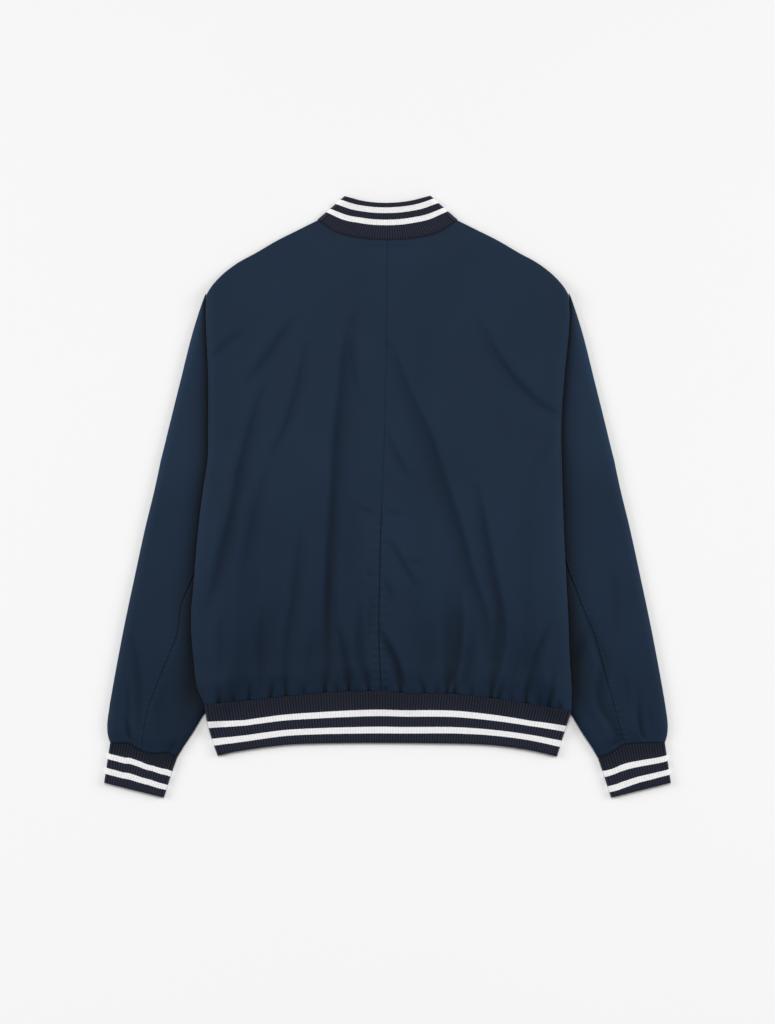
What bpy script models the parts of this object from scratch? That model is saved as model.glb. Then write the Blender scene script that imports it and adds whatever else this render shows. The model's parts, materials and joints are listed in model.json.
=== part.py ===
"""Varsity jacket lying flat on its front, with its back up and its sleeves turned down beside it.

Two back panels lie on two front panels. The sleeves are flattened tubes on the floor, and the sides of
the body lie over their inner edges. Knit bands finish the neck, the hem and the wrists.

+X is the wearer's right, +Y runs from the hem to the collar and +Z is up from the floor, on which the
jacket lies. The origin is on the floor, in the middle of the jacket's length and width. Tables are in
millimetres, and MM turns them into metres. A row's "out" is a distance from the centre line.
"""

import bmesh
import bpy
import numpy as np

MM = 0.001
LEFT = -1
RIGHT = 1

CLOTH = 2.6  # shell cloth with its lining
RIB = 3.0  # knit folded double
SEAM = 0.3  # what parts two pieces at a seam
FRONT_SEAM = 1.5  # the same where a front meets a knit band, under the jacket
LAY = 1.2  # what parts a panel from the one that it lies on
RIB_LAY = 0.6  # the same inside a knit band
RAMP_SLACK = 1.6  # how much more of it the hem band has where it comes down off a sleeve

# ---------------------------------------------------------------- outlines

# Shoulder line, from the tip of the shoulder to the corner of the neck: out, y
SHOULDER = [(243.2, 271), (237.9, 280), (224, 296), (204, 312), (175.5, 328), (147.4, 344.4), (120.6, 357.8),
            (94, 371)]
# Neck seams, from the corner of the neck to the centre: out, y
BACK_NECK = [(94, 371), (69, 355), (37.5, 347), (0, 344.4)]
FRONT_NECK = [(94, 371), (80, 331), (48, 296), (0, 281)]
# Side of the body, from the hem seam to the tip of the shoulder: out, y
SIDE = {
    LEFT: [(245, -278), (253.5, -258.6), (259.4, -218.4), (262.8, -164.8), (259, -111.2), (254.6, -57.6),
           (249.2, -4), (241.9, 33.5), (238.5, 76.4), (239.9, 170.2), (242.4, 264), (243.2, 271)],
    RIGHT: [(245.9, -286.5), (246.4, -258.6), (244, -218.4), (241.9, -164.8), (239.3, -111.2), (236.6, -57.6),
            (234.6, -4), (233.6, 33.5), (232.2, 76.4), (237.2, 170.2), (242.4, 264), (243.2, 271)],
}
# Centre back seam, from the hem seam to the neck: x, y
CENTRE_SEAM = [(-8.7, -260), (-11.4, -191.6), (-10, -84.4), (-2.5, 130), (0, 344.4)]
# Hem seam and the band's lower edge, from left to right: x, y
HEM_SEAM = [(-245, -278), (-157.5, -269.3), (-86.4, -262.2), (-8.7, -260), (20.8, -262.2), (93.1, -264),
            (138.7, -269.3), (245.9, -286.5)]
HEM_EDGE = [(-226.5, -347.7), (-113, -334.8), (0, -330.4), (113, -334.8), (227, -347.9)]
# Top edge of the collar's back half, from left to right, and of a front half, from the corner to the centre
COLLAR_EDGE = [(-58, 403.6), (-30, 396.5), (0, 394.4), (30, 396.5), (58, 403.6)]
COLLAR_FRONT_EDGE = [(58, 403.6), (50, 371), (28, 346), (0, 334)]
# A sleeve's sections from the shoulder to the cuff: outer edge out, y, then inner edge out, y. The inner
# edge is the armhole down to the armpit, then a fold, hidden by the body as far as the hem.
SLEEVE = [
    (247, 262, 242, 262), (258, 232, 240, 232), (278.8, 151.4, 238, 151), (294.8, 87, 237, 87),
    (306, 40, 236, 40), (312, 12, 214, 10), (325, -41.5, 204, -46), (339, -106, 203, -113),
    (352.5, -170, 206, -182), (362, -219, 214, -236), (368.5, -255, 228, -268), (373.2, -283, 245, -290),
    (375.9, -310, 262, -318), (374.5, -322, 274, -336), (371.9, -329.3, 282.3, -350)]
ARMPIT_SECTION = 4  # the last section whose inner edge is the armhole
# Where the sleeve's back seam runs on its upper face, from the armpit to the cuff: out, y
BACK_SEAM = {
    LEFT: [(234, 20), (244, -50), (258, -100), (278, -151), (282, -183.6), (292, -210), (309.5, -252),
           (320, -281), (327, -312), (330.3, -340)],
    RIGHT: [(228, 20), (232, -60), (242, -98), (254, -128.6), (265, -157), (277, -183.6), (286, -214.4),
            (299.5, -265.3), (309, -300), (319, -332)],
}
# A cuff's corners: out, y
CUFF = {"top_outer": (372.1, -329.6), "top_inner": (282.4, -350.3), "end_outer": (380.2, -383),
        "end_inner": (299.9, -403)}

# ---------------------------------------------------------------- folds and gathers

# Long troughs in the back panels: x and y at their start, middle and end, half width, depth
FOLDS = [
    (-127, 233, -179, 130, -232, -135, 9, 4.0),
    (-108, 200, -153, 54, -183, -64, 8, 3.0),
    (-50, 236, -69, 9, -83, -258, 9, 5.5),
    (7, 204, 61, 60, 132, -185, 10, 5.0),
    (121, 4, 153, -153, 137, -266, 9, 4.0),
    (127, 232, 168, 163, 228, 110, 9, 3.5),
    (214, -178, 196, -228, 189, -268, 8, 2.5),
    (-9, -182, 7, -206, 21, -256, 7, 2.5),
    (78, -142, 88, -185, 78, -256, 8, 3.0),
    (-175, -157, -172, -214, -169, -249, 8, 2.5),
    (-121, -125, -127, -178, -132, -236, 8, 3.0),
    (-35, -153, -35, -206, -27, -257, 7, 2.5),
]
# Gathers where the back is sewn to the hem band: x at the seam, length up from it, depth
GATHERS = [
    (-226, 30, 2.0), (-186, 34, 2.0), (-157.5, 40, 2.4), (-136, 52, 2.4), (-84, 48, 3.0), (-52, 60, 2.6),
    (-25, 44, 2.4), (18, 50, 2.6), (50, 34, 2.2), (83, 56, 2.6), (138, 54, 2.8), (182, 44, 2.2),
    (216, 36, 2.0),
]
GATHER_WIDTH = 6.0
GATHER_SHARES = (0.6, 1.0)  # how much of a gather's depth goes into its notch, and into the ridges beside it
RIDGE = (1.9, 0.55)  # where the ridge beside a fold stands, in half widths, and its height as a share
TROUGH_SHARES = 24  # steps along a fold's curve
# Troughs that run down a sleeve's upper face: out and y at start, middle and end, half width, depth
SLEEVE_FOLDS = {
    LEFT: [(342, -196, 332, -236, 333, -306, 6, 2.4), (344, -252, 345, -280, 343.5, -300, 5, 1.6)],
    RIGHT: [(289, -236, 284, -277, 304, -314, 7, 3.0), (335, -258, 337, -300, 344, -326, 6, 2.2)],
}

# ---------------------------------------------------------------- heights above the floor

SLEEVE_CROWN = 9.0  # top of a sleeve
SLEEVE_ENDS = 6.8  # the same where it meets its cuff
OVER_SLEEVE = 10.2  # underside of the body where it lies on a sleeve
ARMHOLE_RISE = 5.0  # how far the back panel stands up along the armhole
RAMP = 34.0  # length over which the body comes down off a sleeve
STEP_DOWN = (105.0, 36.0)  # y between which a front panel climbs on to the sleeve
LAPS = {LEFT: 12.0, RIGHT: -12.0}  # x of the edge of each front, past the centre line
LAP_RISE = {LEFT: 1.8, RIGHT: 5.0}  # underside of each front at the lap
LAP_FLAT = {LEFT: 22.0, RIGHT: 24.0}  # distance from the centre line that the lap's rise keeps
LAP_RAMP = 40.0
LOFT = 3.4  # how far the back stands off the fronts away from its seams
LOFT_HEM = 34.0  # distances from the hem seam and from the neck over which it rises
LOFT_NECK = 40.0
FOLD_HEM = 20.0  # distance above the hem seam over which the folds come in
LEAST_LIFT = 0.8  # softness of the floor under the folds
HEM_FADE = 36.0  # length below the hem seam over which the front lap flattens
ROLL = 9.0  # width of the rolled edge of a panel
ROLL_TABLE = [(0.0, 0.0), (0.07, 0.40), (0.27, 0.74), (0.6, 0.94), (1.0, 1.0)]  # inset and rise, as shares
RIM_SHOULDER = 4.2  # height of the seam that joins back and front
RIM_ARMHOLE = 7.4
RIM_SIDE = 13.6
RIM_HEM = 12.4
RIM_STEPS = {"armpit": 10.0, "hem": (-240.0, 40.0), "tip": (266.0, 30.0), "front": (262.0, 30.0)}
SLEEVE_CROWN_UP = (-352.0, 36.0)  # y and length over which a sleeve rises from its cuff to its crown
SLEEVE_FOLDS_UP = (-345.0, 25.0)
SLEEVE_DIP = 24.0  # distance from the armhole over which a sleeve's top dips to the seam
SLEEVE_RELIEF = (-1.8, 3.0)  # least and most that folds add to a sleeve's top

# ---------------------------------------------------------------- how the pieces are divided

PANEL_WIDTH = 240.0  # nominal width and height of a body panel, for its insets and rows
PANEL_HEIGHT = 575.0
NECK_SHARE = 0.66  # share of a panel's top edge that is the shoulder
EDGE_POINTS = 300  # places tried along a panel's side, and along its shoulder, to find the nearest
BLUR_POINTS = 6  # points to each side over which the edge's direction is evened out
END_POINTS = 30  # points beside the hem, and beside the neck
PANEL_PITCH = 13.0
NECK_PITCH = 9.0
GATHER_STEP = 4.0  # distance from a gather's notch to the column beside it
# Rows of the body's panels, up from the hem seam: those of every panel, and those that only a back has
ROWS_UP = [0, 20, 36, 104, 172, 240, 274, 308, 342, 376, 410, 478, 540]
BACK_ROWS_UP = [8, 70, 138, 206, 444]
FRONT_COLUMNS = [0, 30, 44, 52, 60, 68, 78, 108, 134, 158, 170, 182, 196, 210, 224, 240]
ARMHOLE_TUCK = 2.6  # how far a front's edge lies inside the back's along the armhole
TIP_SEAM = 0.5  # what more parts a sleeve from the back at the tip of the shoulder
UPPER_TUCK = 1.5  # the same for a sleeve's upper and lower faces
LOWER_TUCK = 2.0
TUCK_STEPS = {"armpit": (10.0, 30.0), "tip": (262.0, 20.0), "sleeve": (225.0, 20.0)}
ARMPIT_Y = 40.0
SLEEVE_PITCH = 0.07  # longest step along a sleeve, as a share of its length
SLEEVE_STOPS = (0.03, 0.045, 0.9)  # shares with their own row: below the tip, past the armpit, by the cuff
ROW_SHARES = 400  # places tried across a row of a sleeve to find its back seam
FROM_TURN = -1.0  # limits that say a flat starts or ends at the turn of its tube
TO_TURN = 2.0
SLEEVE_TURN = 11.0  # how far in from its edge a flattened tube turns over
MOST_TURN = 0.46  # the same as a share of a narrow tube, and how much of it the wall may fill
MOST_INWARD = 0.8
HEM_TURN = 4.5
COLLAR_TURN = 6.0
CUFF_TURN = 4.5
BEND_STEPS = {"knit": 4, "outer": 5, "under": 4}  # faces round each of those turns
BAND_ROWS = {"hem": (0.0, 0.22, 0.45, 1.0), "collar": (0.0, 0.5, 1.0), "cuff": (0.0, 0.5, 1.0)}
UNDER_COLUMNS = {"hem": 17, "collar": 9, "cuff": 3}  # columns in each half of a band's plain underside
PLAIN_EVERY = {"hem": 8, "collar": 4, "cuff": 4}  # outer columns to each inner one under the ribs
BAND_GAP = {"hem": 0.004, "collar": 0.004, "cuff": 0.01}  # half the gap between a band's ends, as a share

RIBS = {"hem": 128, "cuff": 22, "collar": 40}
RIB_RELIEF = 0.7

SNAP_RADIUS = 7.5
SNAP_HEIGHT = 1.5
SNAP_COUNT = 5
SNAP_TOP = 236.0
SNAP_PITCH = 116.0

NAVY = (0.016, 0.028, 0.052, 1.0)
KNIT_NAVY = (0.018, 0.018, 0.034, 1.0)
METAL = (0.55, 0.56, 0.58, 1.0)


def smooth_step(share):
    """Rise from 0 to 1 with level ends, as the share goes from 0 to 1."""
    share = np.clip(share, 0.0, 1.0)
    return share * share * (3.0 - 2.0 * share)


def curve(rows):
    """Return the smooth curve through the rows' points, as a function of the share of its length."""
    points = np.array(rows, float)
    knots = np.append(0.0, np.cumsum(np.linalg.norm(np.diff(points, axis=0), axis=1)))
    knots /= knots[-1]
    slopes = np.gradient(points, knots, axis=0)

    def at(share):
        share = np.clip(np.asarray(share, float), 0.0, 1.0)
        span = np.clip(np.searchsorted(knots, share, side="right") - 1, 0, len(knots) - 2)
        width = knots[span + 1] - knots[span]
        t = ((share - knots[span]) / width)[..., None]
        width = width[..., None]
        return ((2 * t**3 - 3 * t**2 + 1) * points[span] + (t**3 - 2 * t**2 + t) * width * slopes[span]
                + (3 * t**2 - 2 * t**3) * points[span + 1] + (t**3 - t**2) * width * slopes[span + 1])

    return at


def mirrored(rows, side):
    """Turn rows of out and y into x and y on one side."""
    return [(side * out, y) for out, y in rows]


def across(rows, y):
    """Read the first column of a curve of (out, y) rows at height y."""
    dense = curve(rows)(np.linspace(0, 1, 240))
    order = np.argsort(dense[:, 1])
    return np.interp(y, dense[order, 1], dense[order, 0])


def trough(x, y, row):
    """Height of one fold: a soft trough along its curve between two low shoulders, shallow at both ends."""
    *path, half_width, depth = row
    line = curve(np.reshape(path, (3, 2)))(np.linspace(0, 1, TROUGH_SHARES + 1))
    offset = np.hypot(x[..., None] - line[:, 0], y[..., None] - line[:, 1])
    nearest = offset.min(axis=-1)
    along = offset.argmin(axis=-1) / TROUGH_SHARES
    taper = np.sqrt(np.clip(np.sin(np.pi * np.clip(along, 0.04, 0.96)), 0, 1))
    place, height = RIDGE
    ridge = np.exp(-((nearest - place * half_width) / half_width) ** 2)
    return depth * taper * (height * ridge - np.exp(-(nearest / half_width) ** 2))


def above_hem(x, y):
    """Distance above the hem seam, below 0 on the hem band."""
    seam = curve(HEM_SEAM)(np.linspace(0, 1, 120))
    return y - np.interp(x, seam[:, 0], seam[:, 1])


def sleeve_inner(y):
    """Distance out of a sleeve's inner edge near height y, where it reaches furthest in."""
    rows = np.array(SLEEVE)[::-1]
    return np.minimum(np.interp(y, rows[:, 3], rows[:, 2]), np.interp(y - RAMP, rows[:, 3], rows[:, 2]))


def on_sleeve(x, y):
    """Share of the lift that the sleeve below gives: 1 on it, falling to 0 down the ramp beside it."""
    return smooth_step(1.0 - (sleeve_inner(y) - np.abs(x)) / RAMP)


def beside_armpit(y):
    """0 along the armhole and 1 below the armpit, where the sleeve goes under the body."""
    return smooth_step((STEP_DOWN[0] - y) / (STEP_DOWN[0] - STEP_DOWN[1]))


def lap_rise(x, y, side):
    """Lift of one front at the centre, where the left one lies on the snap caps and the right on the left.

    It flattens below the hem seam, where the knit band's ends meet edge to edge.
    """
    level = LAP_RISE[side] * smooth_step(1.0 - (np.abs(x) - LAP_FLAT[side]) / LAP_RAMP)
    return level * smooth_step(1.0 + above_hem(x, y) / HEM_FADE)


def under_body(x, y, side):
    """Underside of the front layer: the floor, a sleeve, or the lap at the centre front."""
    return OVER_SLEEVE * on_sleeve(x, y) * beside_armpit(y) + lap_rise(x, y, side)


def top_of_fronts(x, y):
    """A surface that clears both fronts: the highest layer below the back, before its own loft."""
    rise = ARMHOLE_RISE + (OVER_SLEEVE - ARMHOLE_RISE) * beside_armpit(y)
    return rise * on_sleeve(x, y) + lap_rise(x, y, RIGHT)


def gathered(x, above):
    """Height of the gathers: a notch at each place along the hem seam, between two ridges."""
    notch_share, ridge_share = GATHER_SHARES
    height = np.zeros_like(x)
    for place, length, depth in GATHERS:
        notch = np.exp(-((x - place) / GATHER_WIDTH) ** 2)
        ridges = np.exp(-((np.abs(x - place) - RIDGE[0] * GATHER_WIDTH) / GATHER_WIDTH) ** 2)
        height += depth * smooth_step(1.0 - above / length) * (ridge_share * ridges - notch_share * notch)
    return height


def back_top(x, y):
    """Upper face of the back panels, with their loft, folds and gathers."""
    above = above_hem(x, y)
    neck = curve(BACK_NECK)(np.linspace(0, 1, 60))
    below_neck = np.min(np.hypot(np.abs(x)[..., None] - neck[:, 0], y[..., None] - neck[:, 1]), axis=-1)
    lift = LOFT * smooth_step(above / LOFT_HEM) * smooth_step(below_neck / LOFT_NECK)
    lift = lift + sum(trough(x, y, row) for row in FOLDS) * smooth_step(above / FOLD_HEM + 0.3)
    lift = lift + gathered(x, above)
    lying = top_of_fronts(x, y) + 2 * CLOTH + LAY - SEAM
    return lying + (lift + np.hypot(lift, LEAST_LIFT)) / 2


def rim_height(y):
    """Height of the seam between back and front, from the hem up the side and armhole to the shoulder."""
    (hem, hem_length), (tip, tip_length) = RIM_STEPS["hem"], RIM_STEPS["tip"]
    side = RIM_ARMHOLE + (RIM_SIDE - RIM_ARMHOLE) * beside_armpit(y - RIM_STEPS["armpit"])
    side = side + (RIM_HEM - RIM_SIDE) * smooth_step((hem - y) / hem_length)
    return RIM_SHOULDER + (side - RIM_SHOULDER) * smooth_step((tip - y) / tip_length)


def front_rim(y):
    """Height of the front's outer edge: flat on the floor along the armhole, at the seam elsewhere."""
    tip, length = RIM_STEPS["front"]
    along_armhole = smooth_step((tip - y) / length) * (1 - beside_armpit(y))
    seam = np.where(y > tip, RIM_SHOULDER, rim_height(y))
    return seam + (CLOTH + SEAM / 2 - seam) * along_armhole


# ---------------------------------------------------------------- building a piece


def finish(name, mesh, colour, roughness, metallic=0.0):
    """Place a mesh in the jacket's collection under its name, with its own material."""
    material = bpy.data.materials.new(name)
    material.use_nodes = True
    surface = material.node_tree.nodes["Principled BSDF"]
    surface.inputs["Base Color"].default_value = colour
    surface.inputs["Roughness"].default_value = roughness
    surface.inputs["Metallic"].default_value = metallic
    mesh.materials.append(material)
    piece = bpy.data.objects.new(name, mesh)
    bpy.data.collections["varsity_jacket"].objects.link(piece)
    return piece


def wall(name, outer, inner, colour, kept=None, upper=None):
    """Close an outer skin and an inner skin into one wall.

    Each skin is an array of rows, columns and x, y, z in millimetres, laid on a grid primitive. They
    share their rows. The inner skin may have fewer columns, and kept holds the outer column that each
    one faces, so that a face of the rim spans all the outer columns between two inner ones. Where a tube
    lies flat, upper says which spans of the inner skin are on top, so that both halves split their faces
    along the same diagonals and stay apart.
    """
    bm = bmesh.new()
    skins = []
    for points in (outer, inner):
        rows, columns = points.shape[:2]
        made = bmesh.ops.create_grid(bm, x_segments=columns - 1, y_segments=rows - 1, size=1.0)
        for vertex, place in zip(made["verts"], points.reshape(-1, 3) * MM):
            vertex.co = place
        skins.append(np.array(made["verts"], dtype=object).reshape(rows, columns))
    skin, lining = skins
    if upper is not None:
        spans = np.array(list(bm.faces)[-(lining[:-1, :-1].size):], dtype=object).reshape(-1, len(upper))
        for split, half in (("FIXED", spans[:, upper]), ("ALTERNATE", spans[:, ~upper])):
            bmesh.ops.triangulate(bm, faces=list(half.flat), quad_method=split)
    kept = range(outer.shape[1]) if kept is None else kept
    for row in (0, -1):
        for column, (start, end) in enumerate(zip(kept[:-1], kept[1:])):
            bm.faces.new([*skin[row, start:end + 1], lining[row, column + 1], lining[row, column]])
    for column in (0, -1):
        for low, high, low_in, high_in in zip(skin[:-1, column], skin[1:, column], lining[:-1, column],
                                              lining[1:, column]):
            bm.faces.new([low, high, high_in, low_in])
    bmesh.ops.recalc_face_normals(bm, faces=bm.faces)
    mesh = bpy.data.meshes.new(name)
    bm.to_mesh(mesh)
    bm.free()
    mesh.shade_smooth()
    mesh.set_sharp_from_angle(angle=np.radians(50))
    return finish(name, mesh, colour, 0.9)


def spread(stops, pitch):
    """Fill the gaps between the stops with equal steps no longer than the pitch."""
    filled = [stops[0]]
    for start, end in zip(stops[:-1], stops[1:]):
        steps = max(1, int(np.ceil(abs(end - start) / pitch - 1e-6)))
        filled += list(start + (end - start) * np.arange(1, steps + 1) / steps)
    return np.array(filled)


# ---------------------------------------------------------------- body


def patch(bottom, top, outer, inner):
    """Return the surface spanned by four edge curves, read at a share across and a share up.

    Across runs from the outer edge to the inner one, and up from the bottom edge to the top one.
    """

    def at(u, v):
        du, dv = u[..., None], v[..., None]
        corners = ((1 - du) * (1 - dv) * outer(np.zeros(1)) + du * (1 - dv) * inner(np.zeros(1))
                   + (1 - du) * dv * outer(np.ones(1)) + du * dv * inner(np.ones(1)))
        return ((1 - dv) * bottom(u) + dv * top(u) + (1 - du) * outer(v) + du * inner(v)) - corners

    return at


def panel_patch(side, neck, edge_x, centre_rows, tuck, gap):
    """Span one panel of the body: hem seam, shoulder and neck, side, and centre edge.

    The centre edge runs from the hem seam to the neck, both at edge_x, through the centre rows. tuck moves
    the armhole edge in, and gap parts the panel from the hem band.
    """
    shares = np.linspace(0, 1, 600)
    hem = curve(HEM_SEAM)
    neck_line = curve(whole_neck(neck, side))
    hem_end = np.interp(edge_x[0], hem(shares)[:, 0], shares)
    neck_end = np.interp(-side * edge_x[1], -side * neck_line(shares)[:, 0], shares)
    shoulder = curve(mirrored(SHOULDER, side))
    side_line = curve(mirrored(SIDE[side], side))
    centre_line = curve([tuple(hem(hem_end)), *centre_rows, tuple(neck_line(neck_end))])

    def bottom(u):
        share = hem_end * u if side == LEFT else 1 - (1 - hem_end) * u
        return hem(share) + np.array([0.0, gap])

    def top(u):
        on_shoulder = shoulder(u / NECK_SHARE)
        on_neck = neck_line(neck_end * np.clip((u - NECK_SHARE) / (1 - NECK_SHARE), 0, 1))
        return np.where((u < NECK_SHARE)[..., None], on_shoulder, on_neck)

    def outer(v):
        place = side_line(v)
        y = place[..., 1]
        (low, low_length), (tip, tip_length) = TUCK_STEPS["armpit"], TUCK_STEPS["tip"]
        inward = tuck * smooth_step((y - low) / low_length) * smooth_step((tip - y) / tip_length)
        return np.stack([place[..., 0] - side * inward, y + gap * (1 - v)], axis=-1)

    def inner(v):
        place = centre_line(v)
        return np.stack([place[..., 0], place[..., 1] + gap * (1 - v)], axis=-1)

    return patch(bottom, top, outer, inner)


def whole_neck(rows, side):
    """A neck seam from its corner on one side to its corner on the other."""
    return mirrored(rows, side) + mirrored(rows[-2::-1], -side)


def panel_skin(span, side, columns, rows, depth):
    """Place one skin of a panel, depth below its face, and give its points with their rise at the edge.

    columns are distances in from the side, and rows distances up from the hem, on a panel of the nominal
    width and height. The rise goes from 0 at the side and shoulder to 1 over the width of the roll, and an
    inner skin keeps its depth from the edge there. At the ends of the edge that depth is taken along the
    hem seam and straight down from the corner of the neck.
    """
    roll = np.array(ROLL_TABLE)
    u = np.concatenate([ROLL * roll[:, 0], columns[columns > ROLL]]) / PANEL_WIDTH
    v = np.concatenate([rows, PANEL_HEIGHT - ROLL * roll[::-1, 0]]) / PANEL_HEIGHT
    plan = span(*np.meshgrid(u, v))
    shares = np.linspace(0, 1, EDGE_POINTS)
    edge = np.concatenate([span(0 * shares, shares), span(NECK_SHARE * shares, 1 + 0 * shares)[1:]])
    along = np.gradient(edge, axis=0)
    inwards = side * np.stack([-along[:, 1], along[:, 0]], axis=1)
    inwards /= np.linalg.norm(inwards, axis=1, keepdims=True)
    blur = np.pad(inwards, ((BLUR_POINTS, BLUR_POINTS), (0, 0)), mode="edge").cumsum(axis=0)
    blur = blur[2 * BLUR_POINTS:] - np.pad(blur[:-2 * BLUR_POINTS - 1], ((1, 0), (0, 0)))
    inwards = blur / np.linalg.norm(blur, axis=1, keepdims=True)
    along_hem = span(np.full(1, ROLL / PANEL_WIDTH), np.zeros(1)) - edge[0]
    below_neck = span(np.full(1, NECK_SHARE), np.full(1, 1 - ROLL / PANEL_HEIGHT)) - edge[-1]
    for way, points_off in ((along_hem, np.arange(len(edge))), (below_neck, np.arange(len(edge))[::-1])):
        at_end = smooth_step(1 - points_off / END_POINTS)[:, None]
        inwards += at_end * (way / np.linalg.norm(way) - inwards)
    nearest = np.linalg.norm(plan[:, :, None] - edge, axis=-1).argmin(axis=-1)
    apart = ((plan - edge[nearest]) * inwards[nearest]).sum(axis=-1)
    share = np.clip(apart / ROLL, 0.0, 1.0)
    return plan + (depth * (1 - share))[..., None] * inwards[nearest], np.interp(share, *roll.T)


def back_panel(side, name):
    """One back panel: its outer edge rolls down to the seam, and its folds run to the gathered hem."""
    shift = side * SEAM / 2
    centre_rows = [(x + shift, y) for x, y in CENTRE_SEAM[1:-1]]
    ends = (CENTRE_SEAM[0][0] + shift, CENTRE_SEAM[-1][0] + shift)
    span = panel_patch(side, BACK_NECK, ends, centre_rows, 0.0, SEAM)
    neck = NECK_SHARE * PANEL_WIDTH
    gathers = [PANEL_WIDTH - abs(row[0]) + GATHER_STEP for row in GATHERS if row[0] * side > 0]
    stops = [place for place in gathers if ROLL + GATHER_WIDTH < place < PANEL_WIDTH - 2 * GATHER_WIDTH]
    below_shoulder = spread(sorted([ROLL, neck, *[stop for stop in stops if stop < neck]]), PANEL_PITCH)
    below_neck = spread(sorted([neck, PANEL_WIDTH, *[stop for stop in stops if stop > neck]]), NECK_PITCH)
    columns = np.append(below_shoulder, below_neck[1:])
    rows = np.sort(np.array(ROWS_UP + BACK_ROWS_UP, float))
    skins = []
    for depth in (0.0, CLOTH):
        plan, rise = panel_skin(span, side, columns, rows, depth)
        x, y = plan[..., 0], plan[..., 1]
        rim = rim_height(y) + SEAM / 2
        z = rim + (back_top(x, y) - depth - rim) * rise
        skins.append(np.dstack([x, y, z]))
    return wall(name, *skins, NAVY)


def front_panel(side, name):
    """One front panel: it lies on the floor, climbs on to the sleeve at the side and laps at the centre."""
    span = panel_patch(side, FRONT_NECK, (LAPS[side], LAPS[side]), [(LAPS[side], 0.0)], ARMHOLE_TUCK,
                       FRONT_SEAM)
    columns, rows = np.array(FRONT_COLUMNS, float), np.array(ROWS_UP, float)
    skins = []
    for depth in (0.0, CLOTH):
        plan, rise = panel_skin(span, side, columns, rows, depth)
        x, y = plan[..., 0], plan[..., 1]
        rim = front_rim(y) - SEAM / 2
        z = rim + (under_body(x, y, side) + depth - rim) * rise
        skins.append(np.dstack([x, y, z]))
    return wall(name, *skins, NAVY)


# ---------------------------------------------------------------- flattened tubes


def flat_tube(upper, lower, columns, shares, floor, top, turn, depth, relief=0.0, limits=None):
    """Place one skin of a tube that lies flat.

    upper and lower give the plan of each half from shares across and along. A column is a row of: half
    (0 lower, 1 upper), share along the flat, bend in degrees from -90 under the tube to 90 on top of it,
    and the edge that it turns round (0 or 1). floor and top give the tube's outer heights. limits hold
    the shares across where the flats start and end in each row; without them they run from turn to turn.
    """
    half, share, bend, edge = np.array(columns, float).T
    bend = np.radians(bend)
    ends = upper(np.zeros(len(shares)), shares) - upper(np.ones(len(shares)), shares)
    width = np.linalg.norm(ends, axis=-1)
    reach = np.minimum(turn, MOST_TURN * width)
    all_rows = np.ones_like(width)
    start, end = (FROM_TURN * all_rows, TO_TURN * all_rows) if limits is None else limits
    start = np.where(start < 0, reach / width, start)[:, None]
    end = np.where(end > 1, 1 - reach / width, end)[:, None]
    reach, width = reach[:, None], width[:, None]
    inward = np.minimum(depth, MOST_INWARD * reach)
    inset = inward + (reach - inward) * (1 - np.cos(bend))
    bent = np.abs(np.cos(bend)) > 1e-6
    u = start + share * (end - start)
    u = np.where(bent & (edge == 0), inset / width, u)
    u = np.where(bent & (edge == 1), 1 - inset / width, u)
    along = np.repeat(shares[:, None], len(half), axis=1)
    plan = np.where((half > 0.5)[None, :, None], upper(u, along), lower(u, along))
    low = floor(plan[..., 0], plan[..., 1])
    high = top(plan[..., 0], plan[..., 1])
    z = (low + high) / 2 + np.sin(bend) * ((high - low) / 2 - depth) + relief
    return np.dstack([plan, z])


def ruled(first, second, along_first=True):
    """Span two edge curves: at 0 the first, at 1 the second."""

    def at(u, v):
        blend, share = (u, v) if along_first else (v, u)
        return first(share) * (1 - blend[..., None]) + second(share) * blend[..., None]

    return at


def turned(edge, upwards, steps):
    """Columns round one folded edge, without the flat ends."""
    bends = np.linspace(-90, 90, steps + 1)[1:-1]
    bends = bends if upwards else bends[::-1]
    return [(float(bend > -1e-6), edge, bend, edge) for bend in bends]


def flats(half, start, end, count):
    """Columns along a flat half, both ends included."""
    bend = 90.0 if half else -90.0
    return [(half, share, bend, 0) for share in np.linspace(start, end, count)]


def knit_band(kind, name, upper, lower, low, high, turn):
    """A knit band laid flat: plain below, ribbed above, open where its two ends meet underneath."""
    ribs, under, gap = RIBS[kind], UNDER_COLUMNS[kind], BAND_GAP[kind]
    shares, steps = np.array(BAND_ROWS[kind]), BEND_STEPS["knit"]
    columns = (flats(0, 0.5 - gap, 0.0, under) + turned(0, True, steps)
               + flats(1, 0.0, 1.0, 2 * ribs + 1)
               + turned(1, False, steps) + flats(0, 1.0, 0.5 + gap, under))
    first_rib = under + steps - 1
    last_rib = first_rib + 2 * ribs
    relief = np.zeros(len(columns))
    relief[first_rib + 1:last_rib:2] = RIB_RELIEF
    kept = [*range(first_rib), *range(first_rib, last_rib, PLAIN_EVERY[kind]), *range(last_rib, len(columns))]
    outer = flat_tube(upper, lower, columns, shares, low, high, turn, 0.0, relief)
    inner = flat_tube(upper, lower, [columns[k] for k in kept], shares, low, high, turn, RIB)
    half = np.array(columns)[kept, 0] > 0.5
    return wall(name, outer, inner, KNIT_NAVY, kept, half[:-1])


def under_band(x, y):
    """Underside of the hem band: the left front's left of the centre and the right front's right of it."""
    return np.where(x < 0, under_body(x, y, LEFT), under_body(x, y, RIGHT))


def over_band(x, y):
    """Top of the hem band, between its ribs."""
    on_ramp = on_sleeve(x, y)
    return top_of_fronts(x, y) + 2 * RIB + RIB_LAY + RAMP_SLACK * 4 * on_ramp * (1 - on_ramp)


def on_floor(x, y):
    """The floor, for what lies straight on it."""
    return np.zeros_like(x)


def over_flat_band(x, y):
    """Top of a band that lies straight on the floor, between its ribs."""
    return np.full_like(x, 2 * RIB + RIB_LAY)


def moved_up(line, distance):
    """Move a curve up from its seam."""
    return lambda share: line(share) + np.array([0.0, distance])


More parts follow.
